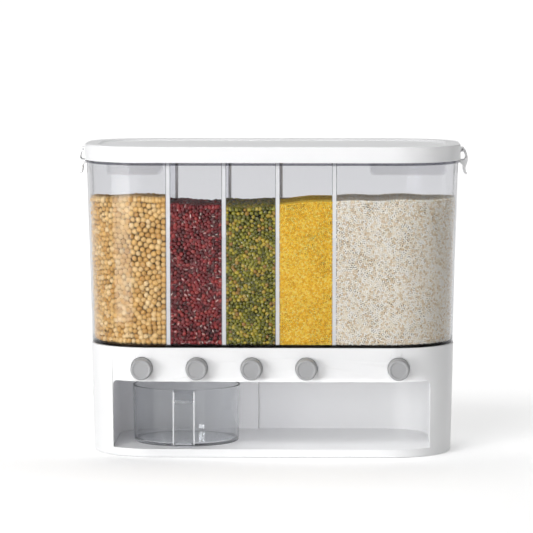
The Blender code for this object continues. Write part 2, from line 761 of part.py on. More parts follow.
def build_cup(clear, parent):
    rim, foot, wall = CUP_RIM_RADIUS, CUP_BASE_RADIUS, CUP_WALL
    profile = [
        (foot - 0.0040, CUP_BASE_Z),
        (foot - 0.0012, CUP_BASE_Z + 0.0010),
        (foot, CUP_BASE_Z + 0.0038),
        (rim - 0.0001, CUP_RIM_Z - 0.0006),
        (rim - 0.0006, CUP_RIM_Z),
        (rim - wall, CUP_RIM_Z),
        (foot - wall, CUP_BASE_Z + 0.0044),
        (foot - 0.0046, CUP_BASE_Z + wall),
    ]
    cup = place("measuring_cup", turned(profile, CUP_SEGMENTS, CUP_CENTRE), clear, parent)
    across = (CUP_CENTRE[0] - CUP_HANDLE_HALF_WIDTH, CUP_CENTRE[0] + CUP_HANDLE_HALF_WIDTH)
    combine(cup, prism(handle_outline(), "X", *across), "UNION", parent)


def main():
    clear_scene()
    root = bpy.data.objects.new("dispenser", None)
    root.location = (0.0, BODY_Y, 0.0)
    bpy.context.scene.collection.objects.link(root)

    white = make_material("white_plastic", (0.86, 0.87, 0.88), 0.38)
    grey = make_material("grey_plastic", (0.52, 0.53, 0.55), 0.42)
    clear = make_material("clear_plastic", (0.82, 0.84, 0.87), 0.06, alpha=0.30)
    frosted = make_material("frosted_plastic", (0.88, 0.89, 0.90), 0.45, alpha=0.65)
    silicone = make_material("silicone", (0.80, 0.81, 0.82), 0.60)
    rubber = make_material("foot_rubber", (0.20, 0.20, 0.21), 0.80)
    steel = make_material("steel", (0.62, 0.62, 0.63), 0.30, metallic=1.0)
    grains = (
        make_material("soybeans", (0.62, 0.42, 0.16), 0.45),
        make_material("adzuki_beans", (0.20, 0.03, 0.03), 0.30),
        make_material("mung_beans", (0.24, 0.22, 0.04), 0.35),
        make_material("millet", (0.82, 0.55, 0.06), 0.60),
        make_material("white_sesame", (0.80, 0.72, 0.56), 0.60),
    )

    build_base_shell(white, root)
    build_serving_bay(white, root)
    build_outlet_deck(white, root)
    build_bottom_cover(white, root)
    build_feet_and_screws(rubber, steel, root)
    build_bin(clear, root)
    for number in range(len(DIVIDER_X)):
        build_divider(number, clear, root)
    for number in range(len(OUTLET_X)):
        build_hopper(number, white, root)
        build_grain(number, grains[number], root)
        build_button(number, grey, steel, white, root)
    build_lid(white, root)
    build_gasket(silicone, root)
    for side in ("left", "right"):
        build_desiccant_box(side, frosted, root)
        build_latch(side, white, steel, root)
    build_cup(clear, root)


main()
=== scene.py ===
"""Looks of the five-compartment cereal dispenser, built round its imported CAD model.

Lengths are in metres. The viewer's left is -X and the front is -Y. Most shapes are made about the
shells' middle and then moved to MIDDLE_Y, where the CAD has it.
"""

import json
import math

import bmesh
import bpy
import numpy as np
from mathutils import Matrix, Vector


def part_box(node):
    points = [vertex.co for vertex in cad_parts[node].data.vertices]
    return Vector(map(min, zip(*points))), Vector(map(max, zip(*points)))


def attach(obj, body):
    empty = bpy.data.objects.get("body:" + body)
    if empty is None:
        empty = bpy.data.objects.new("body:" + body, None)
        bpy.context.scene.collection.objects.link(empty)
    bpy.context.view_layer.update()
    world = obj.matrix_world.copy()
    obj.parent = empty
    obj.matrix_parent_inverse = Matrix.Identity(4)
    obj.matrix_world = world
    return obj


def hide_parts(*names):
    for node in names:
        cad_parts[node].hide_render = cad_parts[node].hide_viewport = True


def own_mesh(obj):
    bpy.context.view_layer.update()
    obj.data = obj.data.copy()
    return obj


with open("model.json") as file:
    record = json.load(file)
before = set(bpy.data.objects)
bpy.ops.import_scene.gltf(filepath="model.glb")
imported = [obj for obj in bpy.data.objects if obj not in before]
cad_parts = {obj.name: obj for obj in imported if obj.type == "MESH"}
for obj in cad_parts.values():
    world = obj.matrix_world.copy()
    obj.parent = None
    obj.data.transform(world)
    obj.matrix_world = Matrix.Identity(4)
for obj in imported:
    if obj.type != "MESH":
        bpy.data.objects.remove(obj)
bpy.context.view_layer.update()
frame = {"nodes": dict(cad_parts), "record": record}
BIN_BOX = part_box("bin_shell")
MIDDLE_Y = (BIN_BOX[0].y + BIN_BOX[1].y) / 2

# --- sizes

LID_HALF = (0.1850, 0.0875)
LID_RADIUS = 0.0670
LID_Z = (0.2883, 0.3040)
LID_PANEL_Z = 0.3020
LID_CEILING_Z = 0.2998
LID_WALL = 0.0022
LID_RIM = (0.0134, 0.0150)  # insets where its flat top ends and where its slope meets the panel
LID_CAP_INSET = 0.040
LATCH_PIN_X, LATCH_PIN_Z = 0.1874, 0.2976
EAR_RADIUS, EAR_ROOT_HALF = 0.0022, 0.0028
EAR_SIDES_Y = (0.0063, 0.0088)
SMALL_EDGE = 0.0004

BIN_FOOT_Z = 0.1083
BIN_SHOULDER_Z = 0.2857
BIN_FOOT_HALF = (0.1783, 0.0800)
BIN_TOP_HALF = (0.18275, 0.0852)
BIN_RIM_Z = 0.2960
BIN_RADIUS = 0.0640
BIN_WALL = 0.0020
SPIGOT_Z = 0.1020

BASE_Z = (0.0004, 0.1080)
BASE_FOOT_HALF = (0.1765, 0.0781)
BASE_TOP_HALF = (0.1789, 0.0806)
BASE_RADIUS = 0.0630
BASE_WALL = 0.0022
BASE_EDGE = 0.0007
BAY_FLOOR = 0.0018

BAY_HALF_X = 0.1548
BAY_Z = (0.0085, 0.0750)
BAY_BACK_Y = 0.0736
BAY_STEP_X = -0.0160
BAY_STEP_Y = 0.0706
BAY_REAR_RADIUS = 0.0400
WINDOW_CORNER = 0.0045
WINDOW_BACK_Y = -0.0450
IN_FRONT_Y = -0.12  # a cut from the front starts here
CUT_LAP = 0.00002

BUTTON_X = (-0.1260, -0.0724, -0.0191, 0.0342, 0.1238)
BUTTON_Z = 0.0880
BUTTON_FRONT_Y, BUTTON_REAR_Y = -0.0935, -0.0768
BUTTON_RADIUS = 0.0105
BUTTON_HOLE_RADIUS, BUTTON_HOLE_BACK_Y = 0.0110, -0.06
STEM_RADIUS, STEM_BACK_Y = 0.0050, -0.0683
DIVIDER_X = (-0.1000, -0.0459, 0.0062, 0.0611)
DIVIDER_Z = (0.1107, 0.2957)
DIVIDER_WEB = 0.0016
DIVIDER_BEAD = (0.0046, 0.0016)
# Painted shade: a divider bead's sides are painted dark further out than this from its middle.
DIVIDER_LIGHT_HALF = 0.0017  # a bead is dark further out than this
DIVIDER_END = (0.0004, 0.0006)  # inset and height of the bevel at its ends

CUP_CENTRE = (-0.0854, -0.0120)
CUP_Z = (0.0088, 0.0650)
CUP_RIM_RADIUS = 0.0533
CUP_FOOT_RADIUS = 0.0518
CUP_WALL = 0.0020
HANDLE_HALF = 0.0107
HANDLE_FRONT_Y = -0.0773
HANDLE_PLATE = 0.0024
HANDLE_SCOOP_INSET = 0.0018
HANDLE_PANEL_INSET = 0.0034

SPRING_TURNS, SPRING_STEPS, SPRING_WIRE = 6.5, 24, 0.00045
SPRING_CLEARANCE, SPRING_EASE = 0.0005, 0.035

CORNER_STEPS = 32


# --- mesh tools


def arc(centre_x, centre_y, radius, first_deg, steps=CORNER_STEPS, sweep_deg=90):
    """Points of an arc in a plane, both ends included."""
    angles = [math.radians(first_deg + sweep_deg * k / steps) for k in range(steps + 1)]
    return [(centre_x + radius * math.cos(a), centre_y + radius * math.sin(a)) for a in angles]


def circle(centre_x, centre_y, radius, steps):
    return arc(centre_x, centre_y, radius, 0, steps, 360)[:-1]


def rounded_rectangle(half_x, half_y, radius, steps=CORNER_STEPS):
    x, y = half_x - radius, half_y - radius
    plan = []
    for k, (sx, sy) in enumerate(((1, 1), (-1, 1), (-1, -1), (1, -1))):
        plan += arc(sx * x, sy * y, radius, 90 * k, steps)
    return plan


def filleted(points, radii, closed=True, steps=5):
    """The polyline with an arc of the given radius in place of each corner."""
    count = len(points)
    result = []
    for k, (point, radius) in enumerate(zip(points, radii)):
        p = Vector(point)
        if radius == 0 or (not closed and k in (0, count - 1)):
            result.append(tuple(p))
            continue
        back = Vector(points[k - 1]) - p
        ahead = Vector(points[(k + 1) % count]) - p
        reach = min(back.length, ahead.length) * 0.49
        back.normalize()
        ahead.normalize()
        half = back.angle(ahead) / 2
        radius = min(radius, reach * math.tan(half))
        centre = p + (back + ahead).normalized() * radius / math.sin(half)
        tangent = radius / math.tan(half)
        start, end = p + back * tangent - centre, p + ahead * tangent - centre
        for step in range(steps + 1):
            turn = start.normalized().slerp(end.normalized(), step / steps)
            result.append(tuple(centre + turn * radius))
    return result


def loft(rings, looped=False):
    """A closed mesh over rings of points: its ends are capped, or joined if it is looped."""
    bm = bmesh.new()
    loops = [[bm.verts.new(p) for p in ring] for ring in rings]
    pairs = list(zip(loops, loops[1:]))
    if looped:
        pairs.append((loops[-1], loops[0]))
    else:
        bm.faces.new(loops[0])
        bm.faces.new(loops[-1])
    for low, high in pairs:
        for k in range(len(low)):
            n = (k + 1) % len(low)
            bm.faces.new((low[k], low[n], high[n], high[k]))
    bm.normal_update()
    bmesh.ops.recalc_face_normals(bm, faces=bm.faces)
    mesh = bpy.data.meshes.new("shape")
    bm.to_mesh(mesh)
    bm.free()
    return mesh


def shell(profile, half_of, radius, looped=False, steps=CORNER_STEPS):
    """A loft of rounded rectangles: each profile point is (inset, height)."""
    rings = []
    for inset, z in profile:
        half_x, half_y = half_of(z)
        plan = rounded_rectangle(half_x - inset, half_y - inset, radius - inset, steps)
        rings.append([(x, y, z) for x, y in plan])
    return loft(rings, looped)


def prism(outline, axis, low, high):
    """The outline, given in the other two axes, drawn out along an axis."""
    spread = {
        "X": lambda a, b, t: (t, a, b),
        "Y": lambda a, b, t: (a, t, b),
        "Z": lambda a, b, t: (a, b, t),
    }[axis]
    return loft([[spread(a, b, t) for a, b in outline] for t in (low, high)])


def turned(profile, segments, centre=(0.0, 0.0)):
    """The (radius, height) profile spun about an upright axis, with flat caps at its ends."""
    angles = [2 * math.pi * k / segments for k in range(segments)]
    rings = []
    for radius, z in profile:
        ring = [(radius * math.cos(a), radius * math.sin(a)) for a in angles]
        rings.append([(centre[0] + x, centre[1] + y, z) for x, y in ring])
    return loft(rings)


def mirrored(mesh):
    copy = mesh.copy()
    copy.transform(Matrix.Scale(-1, 4, (1, 0, 0)))
    copy.flip_normals()
    return copy


def placed(name, mesh):
    obj = bpy.data.objects.new(name, mesh)
    bpy.context.scene.collection.objects.link(obj)
    return obj


def set_values(mesh, name, values):
    """Stores one number for each point of the mesh."""
    attribute = mesh.attributes.new(name, "FLOAT", "POINT")
    attribute.data.foreach_set("value", np.asarray(values, np.float32))


def apply_modifiers(obj):
    graph = bpy.context.evaluated_depsgraph_get()
    obj.data = bpy.data.meshes.new_from_object(obj.evaluated_get(graph))
    obj.modifiers.clear()


def combine(obj, mesh, operation):
    cutter = placed("cutter", mesh)
    modifier = obj.modifiers.new("combine", "BOOLEAN")
    modifier.operation = operation
    modifier.solver = "EXACT"
    modifier.object = cutter
    apply_modifiers(obj)
    bpy.data.objects.remove(cutter)


def soften(obj, width, segments=3, angle_deg=32):
    """Rounds the sharp edges and keeps the flat faces flat."""
    bevel = obj.modifiers.new("bevel", "BEVEL")
    bevel.width = width
    bevel.segments = segments
    bevel.limit_method = "ANGLE"
    bevel.angle_limit = math.radians(angle_deg)
    bevel.miter_outer = "MITER_ARC"
    apply_modifiers(obj)
    smooth(obj)


def smooth(obj, angle_deg=50):
    """Smooth shading, except across edges sharper than the angle."""
    obj.data.shade_smooth()
    obj.data.set_sharp_from_angle(angle=math.radians(angle_deg))
    weighted = obj.modifiers.new("weighted", "WEIGHTED_NORMAL")
    weighted.keep_sharp = True
    weighted.weight = 80
    apply_modifiers(obj)


def shifted(obj):
    """Moves a shape made about the shells' middle to its place."""
    obj.data.transform(Matrix.Translation((0, MIDDLE_Y, 0)))
    return obj


def show(obj, material, body, slot, *nodes):
    """Gives a piece its material and its body, and hides the CAD nodes that it stands for."""
    obj.data.materials.clear()
    obj.data.materials.append(material)
    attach(obj, body)
    if nodes:
        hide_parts(*nodes)
    return obj


# --- materials

EDGE_WIDTH = 0.004
GRAZING = (0.84, 1.0)  # the turn from the viewer over which a clear wall takes its edge tint
STRAIGHT_GLOSS = 0.008
KERNEL_MOTTLE = 0.12


class Nodes:
    """A short way to write the node tree of a material or a world."""

    def __init__(self, name, world=False):
        self.owner = (bpy.data.worlds if world else bpy.data.materials).new(name)
        self.owner.use_nodes = True
        self.tree = self.owner.node_tree
        self.tree.nodes.clear()
        self.out = self.add("ShaderNodeOutputWorld" if world else "ShaderNodeOutputMaterial")

    def add(self, kind, settings=None, **inputs):
        node = self.tree.nodes.new(kind)
        for key, value in (settings or {}).items():
            setattr(node, key, value)
        for key, value in inputs.items():
            self.put(node.inputs[key.replace("_", " ")], value)
        return node

    def put(self, socket, value):
        if isinstance(value, bpy.types.NodeSocket):
            self.tree.links.new(value, socket)
        elif isinstance(value, tuple) and len(value) == 3 and socket.type == "RGBA":
            socket.default_value = (*value, 1.0)
        else:
            socket.default_value = value

    def place(self):
        """The point's place on the object, as separate X, Y and Z."""
        where = self.add("ShaderNodeTexCoord").outputs["Object"]
        return self.add("ShaderNodeSeparateXYZ", Vector=where).outputs

    def stored(self, name, output="Fac"):
        """A value that the mesh carries."""
        return self.add("ShaderNodeAttribute", {"attribute_name": name}).outputs[output]

    def noise(self, scale, detail=2.0):
        where = self.add("ShaderNodeTexCoord").outputs["Object"]
        node = self.add("ShaderNodeTexNoise", Vector=where, Scale=scale, Detail=detail)
        return node.outputs["Fac"]

    def ramp(self, value, stops):
        node = self.add("ShaderNodeValToRGB", Fac=value)
        elements = node.color_ramp.elements
        while len(elements) < len(stops):
            elements.new(0.5)
        for element, (place, colour) in zip(elements, stops):
            element.position = place
            element.color = (*colour, 1.0)
        return node.outputs["Color"]

    def remap(self, value, source, target=(0.0, 1.0)):
        node = self.add("ShaderNodeMapRange", Value=value)
        for name, number in zip(("From Min", "From Max", "To Min", "To Max"), source + target):
            node.inputs[name].default_value = number
        return node.outputs["Result"]

    def spread(self, value, low, high):
        """Spreads a noise value, which is mostly between 0.3 and 0.7, over low to high."""
        return self.remap(value, (0.3, 0.7), (low, high))

    def bump(self, height, strength, distance):
        node = self.add("ShaderNodeBump", Height=height, Strength=strength, Distance=distance)
        return node.outputs["Normal"]

    def maths(self, operation, *values):
        node = self.add("ShaderNodeMath", {"operation": operation})
        for socket, value in zip(node.inputs, values):
            self.put(socket, value)
        return node.outputs[0]

    def between(self, value, low, high):
        """1 where the value lies between two limits, else 0."""
        return self.maths(
            "MULTIPLY", self.maths("GREATER_THAN", value, low), self.maths("LESS_THAN", value, high)
        )

    def mix_colour(self, share, first, second, blend="MIX"):
        node = self.add("ShaderNodeMix", {"data_type": "RGBA", "blend_type": blend})
        self.put(node.inputs[0], share)
        self.put(node.inputs[6], first)
        self.put(node.inputs[7], second)
        return node.outputs[2]

    def mix_shader(self, share, first, second):
        node = self.add("ShaderNodeMixShader")
        self.put(node.inputs[0], share)
        self.put(node.inputs[1], first)
        self.put(node.inputs[2], second)
        return node.outputs[0]

    def finish(self, shader):
        self.put(self.out.inputs["Surface"], shader)
        return self.owner


def moulded_plastic(name, low, high, roughness=(0.28, 0.38)):
    """Opaque satin plastic: a fine spark-eroded grain over slow changes of tone and gloss."""
    n = Nodes(name)
    colour = n.ramp(n.noise(14.0, 3.0), [(0.35, low), (0.65, high)])
    normal = n.bump(n.noise(2600.0, 1.0), 0.05, 0.00008)
    gloss = n.spread(n.noise(55.0, 3.0), *roughness)
    shader = n.add("ShaderNodeBsdfPrincipled", Base_Color=colour, Roughness=gloss, Normal=normal)
    shader.inputs["IOR"].default_value = 1.46
    return n.finish(shader.outputs[0])


def refracting_plastic(name, colour, axis, bright_from, glow, limit=None, dark_sides=0.0):
    """Clear plastic that bends what is seen through it and lets light past to what it holds.

    Its moulded edges carry a painted highlight. bright_from is (centre, start): further than start
    from the centre along the axis, the surface is partly painted white, by glow. With a limit, that
    holds only in front of it and within EDGE_WIDTH. dark_sides paints shade, a dark line, on the
    sides of a divider's front bead.
    """
    n = Nodes(name)
    wave = n.bump(n.noise(60.0, 1.0), 0.04, 0.0003)
    glass = n.add("ShaderNodeBsdfGlass", Color=colour, Normal=wave)
    glass.inputs["Roughness"].default_value = 0.02
    glass.inputs["IOR"].default_value = 1.47
    lamps = n.add("ShaderNodeBsdfTransparent", Color=(0.96, 0.96, 0.97)).outputs[0]
    path = n.add("ShaderNodeLightPath")
    unseen = n.maths("MAXIMUM", path.outputs["Is Shadow Ray"], path.outputs["Is Diffuse Ray"])
    place = n.place()
    centre, start = bright_from
    off = n.maths("ABSOLUTE", n.maths("SUBTRACT", place[axis], centre))
    edge = n.maths("GREATER_THAN", off, start)
    if limit:
        edge = n.maths("MULTIPLY", edge, n.maths("LESS_THAN", place["Y"], limit))
        edge = n.maths("MULTIPLY", edge, n.maths("LESS_THAN", off, start + EDGE_WIDTH))
    # Painted highlight: white diffuse and translucent mixed in at the edges.
    white = n.add("ShaderNodeBsdfDiffuse", Color=(0.93, 0.94, 0.96)).outputs[0]
    milky = n.add("ShaderNodeBsdfTranslucent", Color=(0.93, 0.94, 0.97)).outputs[0]
    painted_highlight = n.mix_shader(0.12, white, milky)
    seen = n.mix_shader(n.maths("MULTIPLY", edge, glow), glass.outputs[0], painted_highlight)
    # Painted shade: a dark line on the sides of a divider's front bead.
    if dark_sides:
        outer = n.maths("GREATER_THAN", n.maths("ABSOLUTE", n.stored("across")), DIVIDER_LIGHT_HALF)
        side = n.maths("MULTIPLY", outer, n.maths("LESS_THAN", place[axis], centre - start))
        dark = n.add("ShaderNodeBsdfDiffuse", Color=(0.10, 0.10, 0.12)).outputs[0]
        seen = n.mix_shader(n.maths("MULTIPLY", side, dark_sides), seen, dark)
    return n.finish(n.mix_shader(unseen, seen, lamps))


def clear_plastic(name, face, rear_face_painted_shade, edge, painted_shade_bands):
    """Clear sheet: a tint that deepens where the wall is seen along its length.

    The walls behind the middle have a deeper tint, which is painted shade.
    Each band is (low, high, tint) in height: a dark line of painted shade.
    """
    n = Nodes(name)
    wave = n.bump(n.noise(38.0, 1.0), 0.05, 0.0004)
    facing = n.add("ShaderNodeLayerWeight", Blend=0.5, Normal=wave).outputs["Facing"]
    place = n.place()
    # Painted shade: the walls behind the middle take the deeper rear tint.
    behind = n.maths("GREATER_THAN", place["Y"], MIDDLE_Y)
    tint = n.mix_colour(n.remap(facing, GRAZING), n.mix_colour(behind, face, rear_face_painted_shade), edge)
    # Painted shade: dark lines painted in bands of height.
    for low, high, shade in painted_shade_bands:
        tint = n.mix_colour(n.between(place["Z"], low, high), tint, shade)
    turned_away = n.maths("POWER", facing, 5.0)
    fresnel = n.maths("MULTIPLY_ADD", turned_away, 1 - STRAIGHT_GLOSS, STRAIGHT_GLOSS)
    through = n.add("ShaderNodeBsdfTransparent", Color=tint).outputs[0]
    gloss = n.spread(n.noise(90.0, 2.0), 0.03 * 0.7, 0.03 * 1.5)
    mirror = n.add("ShaderNodeBsdfGlossy", Roughness=gloss, Normal=wave).outputs[0]
    seen = n.mix_shader(fresnel, through, mirror)
    lamps = n.add("ShaderNodeBsdfTransparent", Color=(0.97, 0.97, 0.97)).outputs[0]
    shadow = n.add("ShaderNodeLightPath").outputs["Is Shadow Ray"]
    return n.finish(n.mix_shader(shadow, seen, lamps))


def frosted_plastic(name):
    """Milky translucent plastic, lit from within by what passes through it."""
    n = Nodes(name)
    cloud = n.ramp(n.noise(60.0, 3.0), [(0.3, (0.80, 0.81, 0.83)), (0.7, (0.86, 0.87, 0.88))])
    normal = n.bump(n.noise(1800.0, 1.0), 0.06, 0.0001)
    body = n.add("ShaderNodeBsdfPrincipled", Base_Color=cloud, Normal=normal)
    body.inputs["Roughness"].default_value = 0.32
    glow = n.add("ShaderNodeBsdfTranslucent", Color=(0.85, 0.86, 0.88)).outputs[0]
    through = n.add("ShaderNodeBsdfTransparent", Color=(0.985, 0.985, 0.99)).outputs[0]
    solid = n.mix_shader(0.45, body.outputs[0], glow)
    return n.finish(n.mix_shader(0.90, solid, through))


def metal(name, colour, roughness):
    n = Nodes(name)
    streaks = n.noise(700.0, 2.0)
    tone = n.ramp(streaks, [(0.3, tuple(c * 0.85 for c in colour)), (0.7, colour)])
    gloss = n.spread(streaks, roughness * 0.8, roughness * 1.3)
    normal = n.bump(streaks, 0.1, 0.00005)
    shader = n.add("ShaderNodeBsdfPrincipled", Base_Color=tone, Roughness=gloss, Normal=normal)
    shader.inputs["Metallic"].default_value = 1.0
    return n.finish(shader.outputs[0])


def rubber(name, colour):
    n = Nodes(name)
    tone = n.ramp(n.noise(260.0, 4.0), [(0.3, tuple(c * 0.8 for c in colour)), (0.7, colour)])
    normal = n.bump(n.noise(3000.0, 2.0), 0.2, 0.0001)
    gloss = n.spread(n.noise(120.0, 2.0), 0.6, 0.8)
    shader = n.add("ShaderNodeBsdfPrincipled", Base_Color=tone, Roughness=gloss, Normal=normal)
    return n.finish(shader.outputs[0])


def kernels(name, stops, roughness, eye=None):
    """Beans or seeds: each has its own tone, a slightly mottled skin and, on a bean, its eye.

    The eye is its half length and half width, as shares of the kernel's own, and its colour.
    The mesh carries "tone", one number per kernel, "local", the place on the kernel, and
    "shade", painted shade that falls from 1 at the wall to a low value in the gaps between the
    kernels.
    """
    n = Nodes(name)
    mottle = n.maths("MULTIPLY_ADD", n.noise(260.0, 3.0), KERNEL_MOTTLE, -KERNEL_MOTTLE / 2)
    colour = n.ramp(n.maths("ADD", n.stored("tone"), mottle), stops)
    if eye:
        length, width, eye_colour = eye
        local = n.add("ShaderNodeSeparateXYZ", Vector=n.stored("local", "Vector")).outputs
        along = n.maths("LESS_THAN", n.maths("ABSOLUTE", local["X"]), length)
        across = n.maths("LESS_THAN", n.maths("ABSOLUTE", local["Y"]), width)
        side = n.maths("GREATER_THAN", local["Z"], 0.0)
        where = n.maths("MULTIPLY", n.maths("MULTIPLY", along, across), side)
        colour = n.mix_colour(where, colour, eye_colour)
    # Painted shade: the colour is multiplied by the stored shade.
    colour = n.mix_colour(1.0, colour, n.stored("shade"), "MULTIPLY")
    gloss = n.spread(n.noise(500.0, 2.0), roughness * 0.8, roughness * 1.2)
    normal = n.bump(n.noise(1500.0, 2.0), 0.15, 0.0001)
    shader = n.add("ShaderNodeBsdfPrincipled", Base_Color=colour, Roughness=gloss, Normal=normal)
    return n.finish(shader.outputs[0])


WHITE = moulded_plastic("white_plastic_skin", (0.86, 0.862, 0.87), (0.885, 0.887, 0.893))
GREY = moulded_plastic("grey_plastic_skin", (0.36, 0.362, 0.37), (0.385, 0.387, 0.395), (0.3, 0.42))
# Painted shade: dark lines painted on the clear bin at its flange and at its foot.
FLANGE_PAINTED_SHADE = (BIN_SHOULDER_Z - 0.0002, BIN_SHOULDER_Z + 0.0022, (0.52, 0.52, 0.55))
FOOT_PAINTED_SHADE = (BIN_FOOT_Z - 0.0004, BIN_FOOT_Z + 0.0018, (0.42, 0.42, 0.45))
# The clear bin: its rear walls take a deeper tint as painted shade.
CLEAR = clear_plastic(
    "clear_plastic_skin",
    (0.95, 0.95, 0.955),
    (0.815, 0.817, 0.828),
    (0.34, 0.34, 0.37),
    (FLANGE_PAINTED_SHADE, FOOT_PAINTED_SHADE),
)
# Divider: a painted highlight on its beads, and painted shade as dark lines on their sides.
DIVIDER = refracting_plastic(
    "divider_skin", (0.97, 0.975, 1.0), "Y", (MIDDLE_Y, 0.0745), 0.85, dark_sides=0.75
)
# Cup: a painted highlight along the edges of its handle.
CUP_CLEAR = refracting_plastic(
    "cup_skin",
    (0.95, 0.955, 0.96),
    "X",
    (CUP_CENTRE[0], HANDLE_HALF - 0.0012),
    0.75,
    limit=HANDLE_FRONT_Y + MIDDLE_Y + 0.0016,
)
FROSTED = frosted_plastic("frosted_plastic_skin")
STEEL = metal("steel_skin", (0.62, 0.62, 0.63), 0.28)
SILICONE = rubber("silicone_skin", (0.80, 0.81, 0.82))
FOOT_RUBBER = rubber("foot_rubber_skin", (0.20, 0.20, 0.21))


# --- base


def base_half(z):
    share = (z - BASE_Z[0]) / (BASE_Z[1] - BASE_Z[0])
    return tuple(a + (b - a) * share for a, b in zip(BASE_FOOT_HALF, BASE_TOP_HALF))


def bay_plan():
    """Plan of the serving bay: round rear corners and one step in the back wall."""
    r = BAY_REAR_RADIUS
    plan = [(-BAY_HALF_X, WINDOW_BACK_Y), (BAY_HALF_X, WINDOW_BACK_Y)]
    plan += arc(BAY_HALF_X - r, BAY_BACK_Y - r, r, 0, 24)
    plan += [(BAY_STEP_X + 0.0004, BAY_BACK_Y), (BAY_STEP_X - 0.0004, BAY_STEP_Y)]
    plan += arc(-BAY_HALF_X + r, BAY_STEP_Y - r, r, 90, 24)
    return plan


def build_base():
    """One piece for the shell and its bay, hollow above the bay and below its floor."""
    low, high = BASE_Z
    side = [(0.05, low), (0.0, low), (0.0, high), (0.05, high)]
    skin = filleted(side, [0, 0.0020, 0.0008, 0], closed=False)
    body = placed("base_housing", shell(skin, base_half, BASE_RADIUS))
    upper = [(BASE_WALL, BAY_Z[1] - CUT_LAP), (BASE_WALL, high + 0.001)]
    lower = [(BASE_WALL, low - 0.001), (BASE_WALL, BAY_Z[0] - BAY_FLOOR)]
    for cavity in (upper, lower):
        combine(body, shell(cavity, base_half, BASE_RADIUS), "DIFFERENCE")
    combine(body, prism(bay_plan(), "Z", BAY_Z[0], BAY_Z[1]), "DIFFERENCE")
    r = WINDOW_CORNER
    window = [(-BAY_HALF_X, BAY_Z[0]), (BAY_HALF_X, BAY_Z[0])]
    window += arc(BAY_HALF_X - r, BAY_Z[1] - r, r, 0, 8)
    window += arc(-BAY_HALF_X + r, BAY_Z[1] - r, r, 90, 8)
    combine(body, prism(window, "Y", IN_FRONT_Y, WINDOW_BACK_Y + 0.0005), "DIFFERENCE")
    for x in BUTTON_X:
        hole = circle(x, BUTTON_Z, BUTTON_HOLE_RADIUS, 64)
        combine(body, prism(hole, "Y", IN_FRONT_Y, BUTTON_HOLE_BACK_Y), "DIFFERENCE")
    soften(body, BASE_EDGE)
    show(shifted(body), WHITE, "housing", "white_plastic", "base_shell", "serving_bay")


def build_button(number):
    """A push button with a chamfered edge and a shallow dish in its face."""
    front, rear = BUTTON_FRONT_Y, BUTTON_REAR_Y
    points = [
        (BUTTON_RADIUS, rear),
        (BUTTON_RADIUS, front + 0.0030),
        (0.0092, front),
        (0.0080, front + 0.0001),
        (0.0074, front + 0.0007),
        (0.0020, front + 0.0009),
    ]
    profile = filleted(points, [0, 0.0016, 0.0006, 0.0006, 0.0010, 0], closed=False, steps=6)
    button = placed(f"press_button_{number + 1}", turned(profile, 64))
    height_to_depth = Matrix(((1, 0, 0, 0), (0, 0, 1, 0), (0, 1, 0, 0), (0, 0, 0, 1)))
    button.data.transform(height_to_depth)
    button.data.transform(Matrix.Translation((BUTTON_X[number], 0, BUTTON_Z)))
    stem = circle(BUTTON_X[number], BUTTON_Z, STEM_RADIUS, 32)
    combine(button, prism(stem, "Y", rear - 0.0005, STEM_BACK_Y), "UNION")
    smooth(button, 35)
    show(shifted(button), GREY, f"press_{number + 1}", "grey_plastic", f"button_{number + 1}")


# --- bin


def bin_half(z):
    share = (z - BIN_FOOT_Z) / (BIN_SHOULDER_Z - BIN_FOOT_Z)
    return tuple(a + (b - a) * share for a, b in zip(BIN_FOOT_HALF, BIN_TOP_HALF))


def build_bin():
    """The clear wall, with its spigot in the base, its foot and its thin flange."""
    foot, shoulder = BIN_FOOT_Z, BIN_SHOULDER_Z
    points = [
        (0.0021, SPIGOT_Z),
        (0.0022, foot),
        (0.0, foot),
        (0.0, shoulder),
        (-0.0018, shoulder),
        (-0.0018, shoulder + 0.0020),
        (0.0007, shoulder + 0.0020),
        (0.0010, BIN_RIM_Z),
        (0.0028, BIN_RIM_Z),
        (0.0025, shoulder),
        (BIN_WALL, foot + 0.0022),
        (0.0042, foot),
        (0.0041, SPIGOT_Z),
    ]
    radii = [0.0003, 0.0003, 0.0007, 0.0005, 0.0005, 0.0005, 0.0003]
    radii += [0.0004, 0.0004, 0.001, 0.0008, 0.0008, 0.0003]
    profile = filleted(points, radii, steps=3)
    shape = placed("clear_bin", shell(profile, bin_half, BIN_RADIUS, looped=True))
    smooth(shape, 40)
    return show(shifted(shape), CLEAR, "housing", "clear_plastic", "bin_shell")


def build_divider(number):
    """A thin web between two round-edged beads that slide in the bin's front and back walls."""
    x = DIVIDER_X[number]
    bead, depth = DIVIDER_BEAD[0] / 2, DIVIDER_BEAD[1]
    web = DIVIDER_WEB / 2
    low, high = DIVIDER_Z
    end_inset, end_height = DIVIDER_END
    outlines = []
    for z in (low, low + end_height, high - end_height, high):
        inset = end_inset if z in (low, high) else 0.0
        reach = bin_half(z)[1] - BIN_WALL - 0.0003 - inset
        side = bead - inset
        front = [(side, -reach), (side, -reach + depth), (web, -reach + depth)]
        right = front + [(a, -y) for a, y in front[::-1]]
        corners = [(x + a, y) for a, y in right] + [(x - a, y) for a, y in right[::-1]]
        radii = [0.0004, 0.0008, 0.0004, 0.0004, 0.0008, 0.0004] * 2
        plan = filleted(corners, radii, steps=3)
        outlines.append([(a, y, z) for a, y in plan])
    panel = placed(f"divider_panel_{number + 1}", loft(outlines))
    # Painted shade: the divider's material uses this offset to paint dark lines on the bead's
    # sides.
    set_values(panel.data, "across", [v.co.x - x for v in panel.data.vertices])
    smooth(panel, 40)
    show(shifted(panel), DIVIDER, "housing", "clear_plastic", f"divider_{number + 1}")


# --- lid and latches


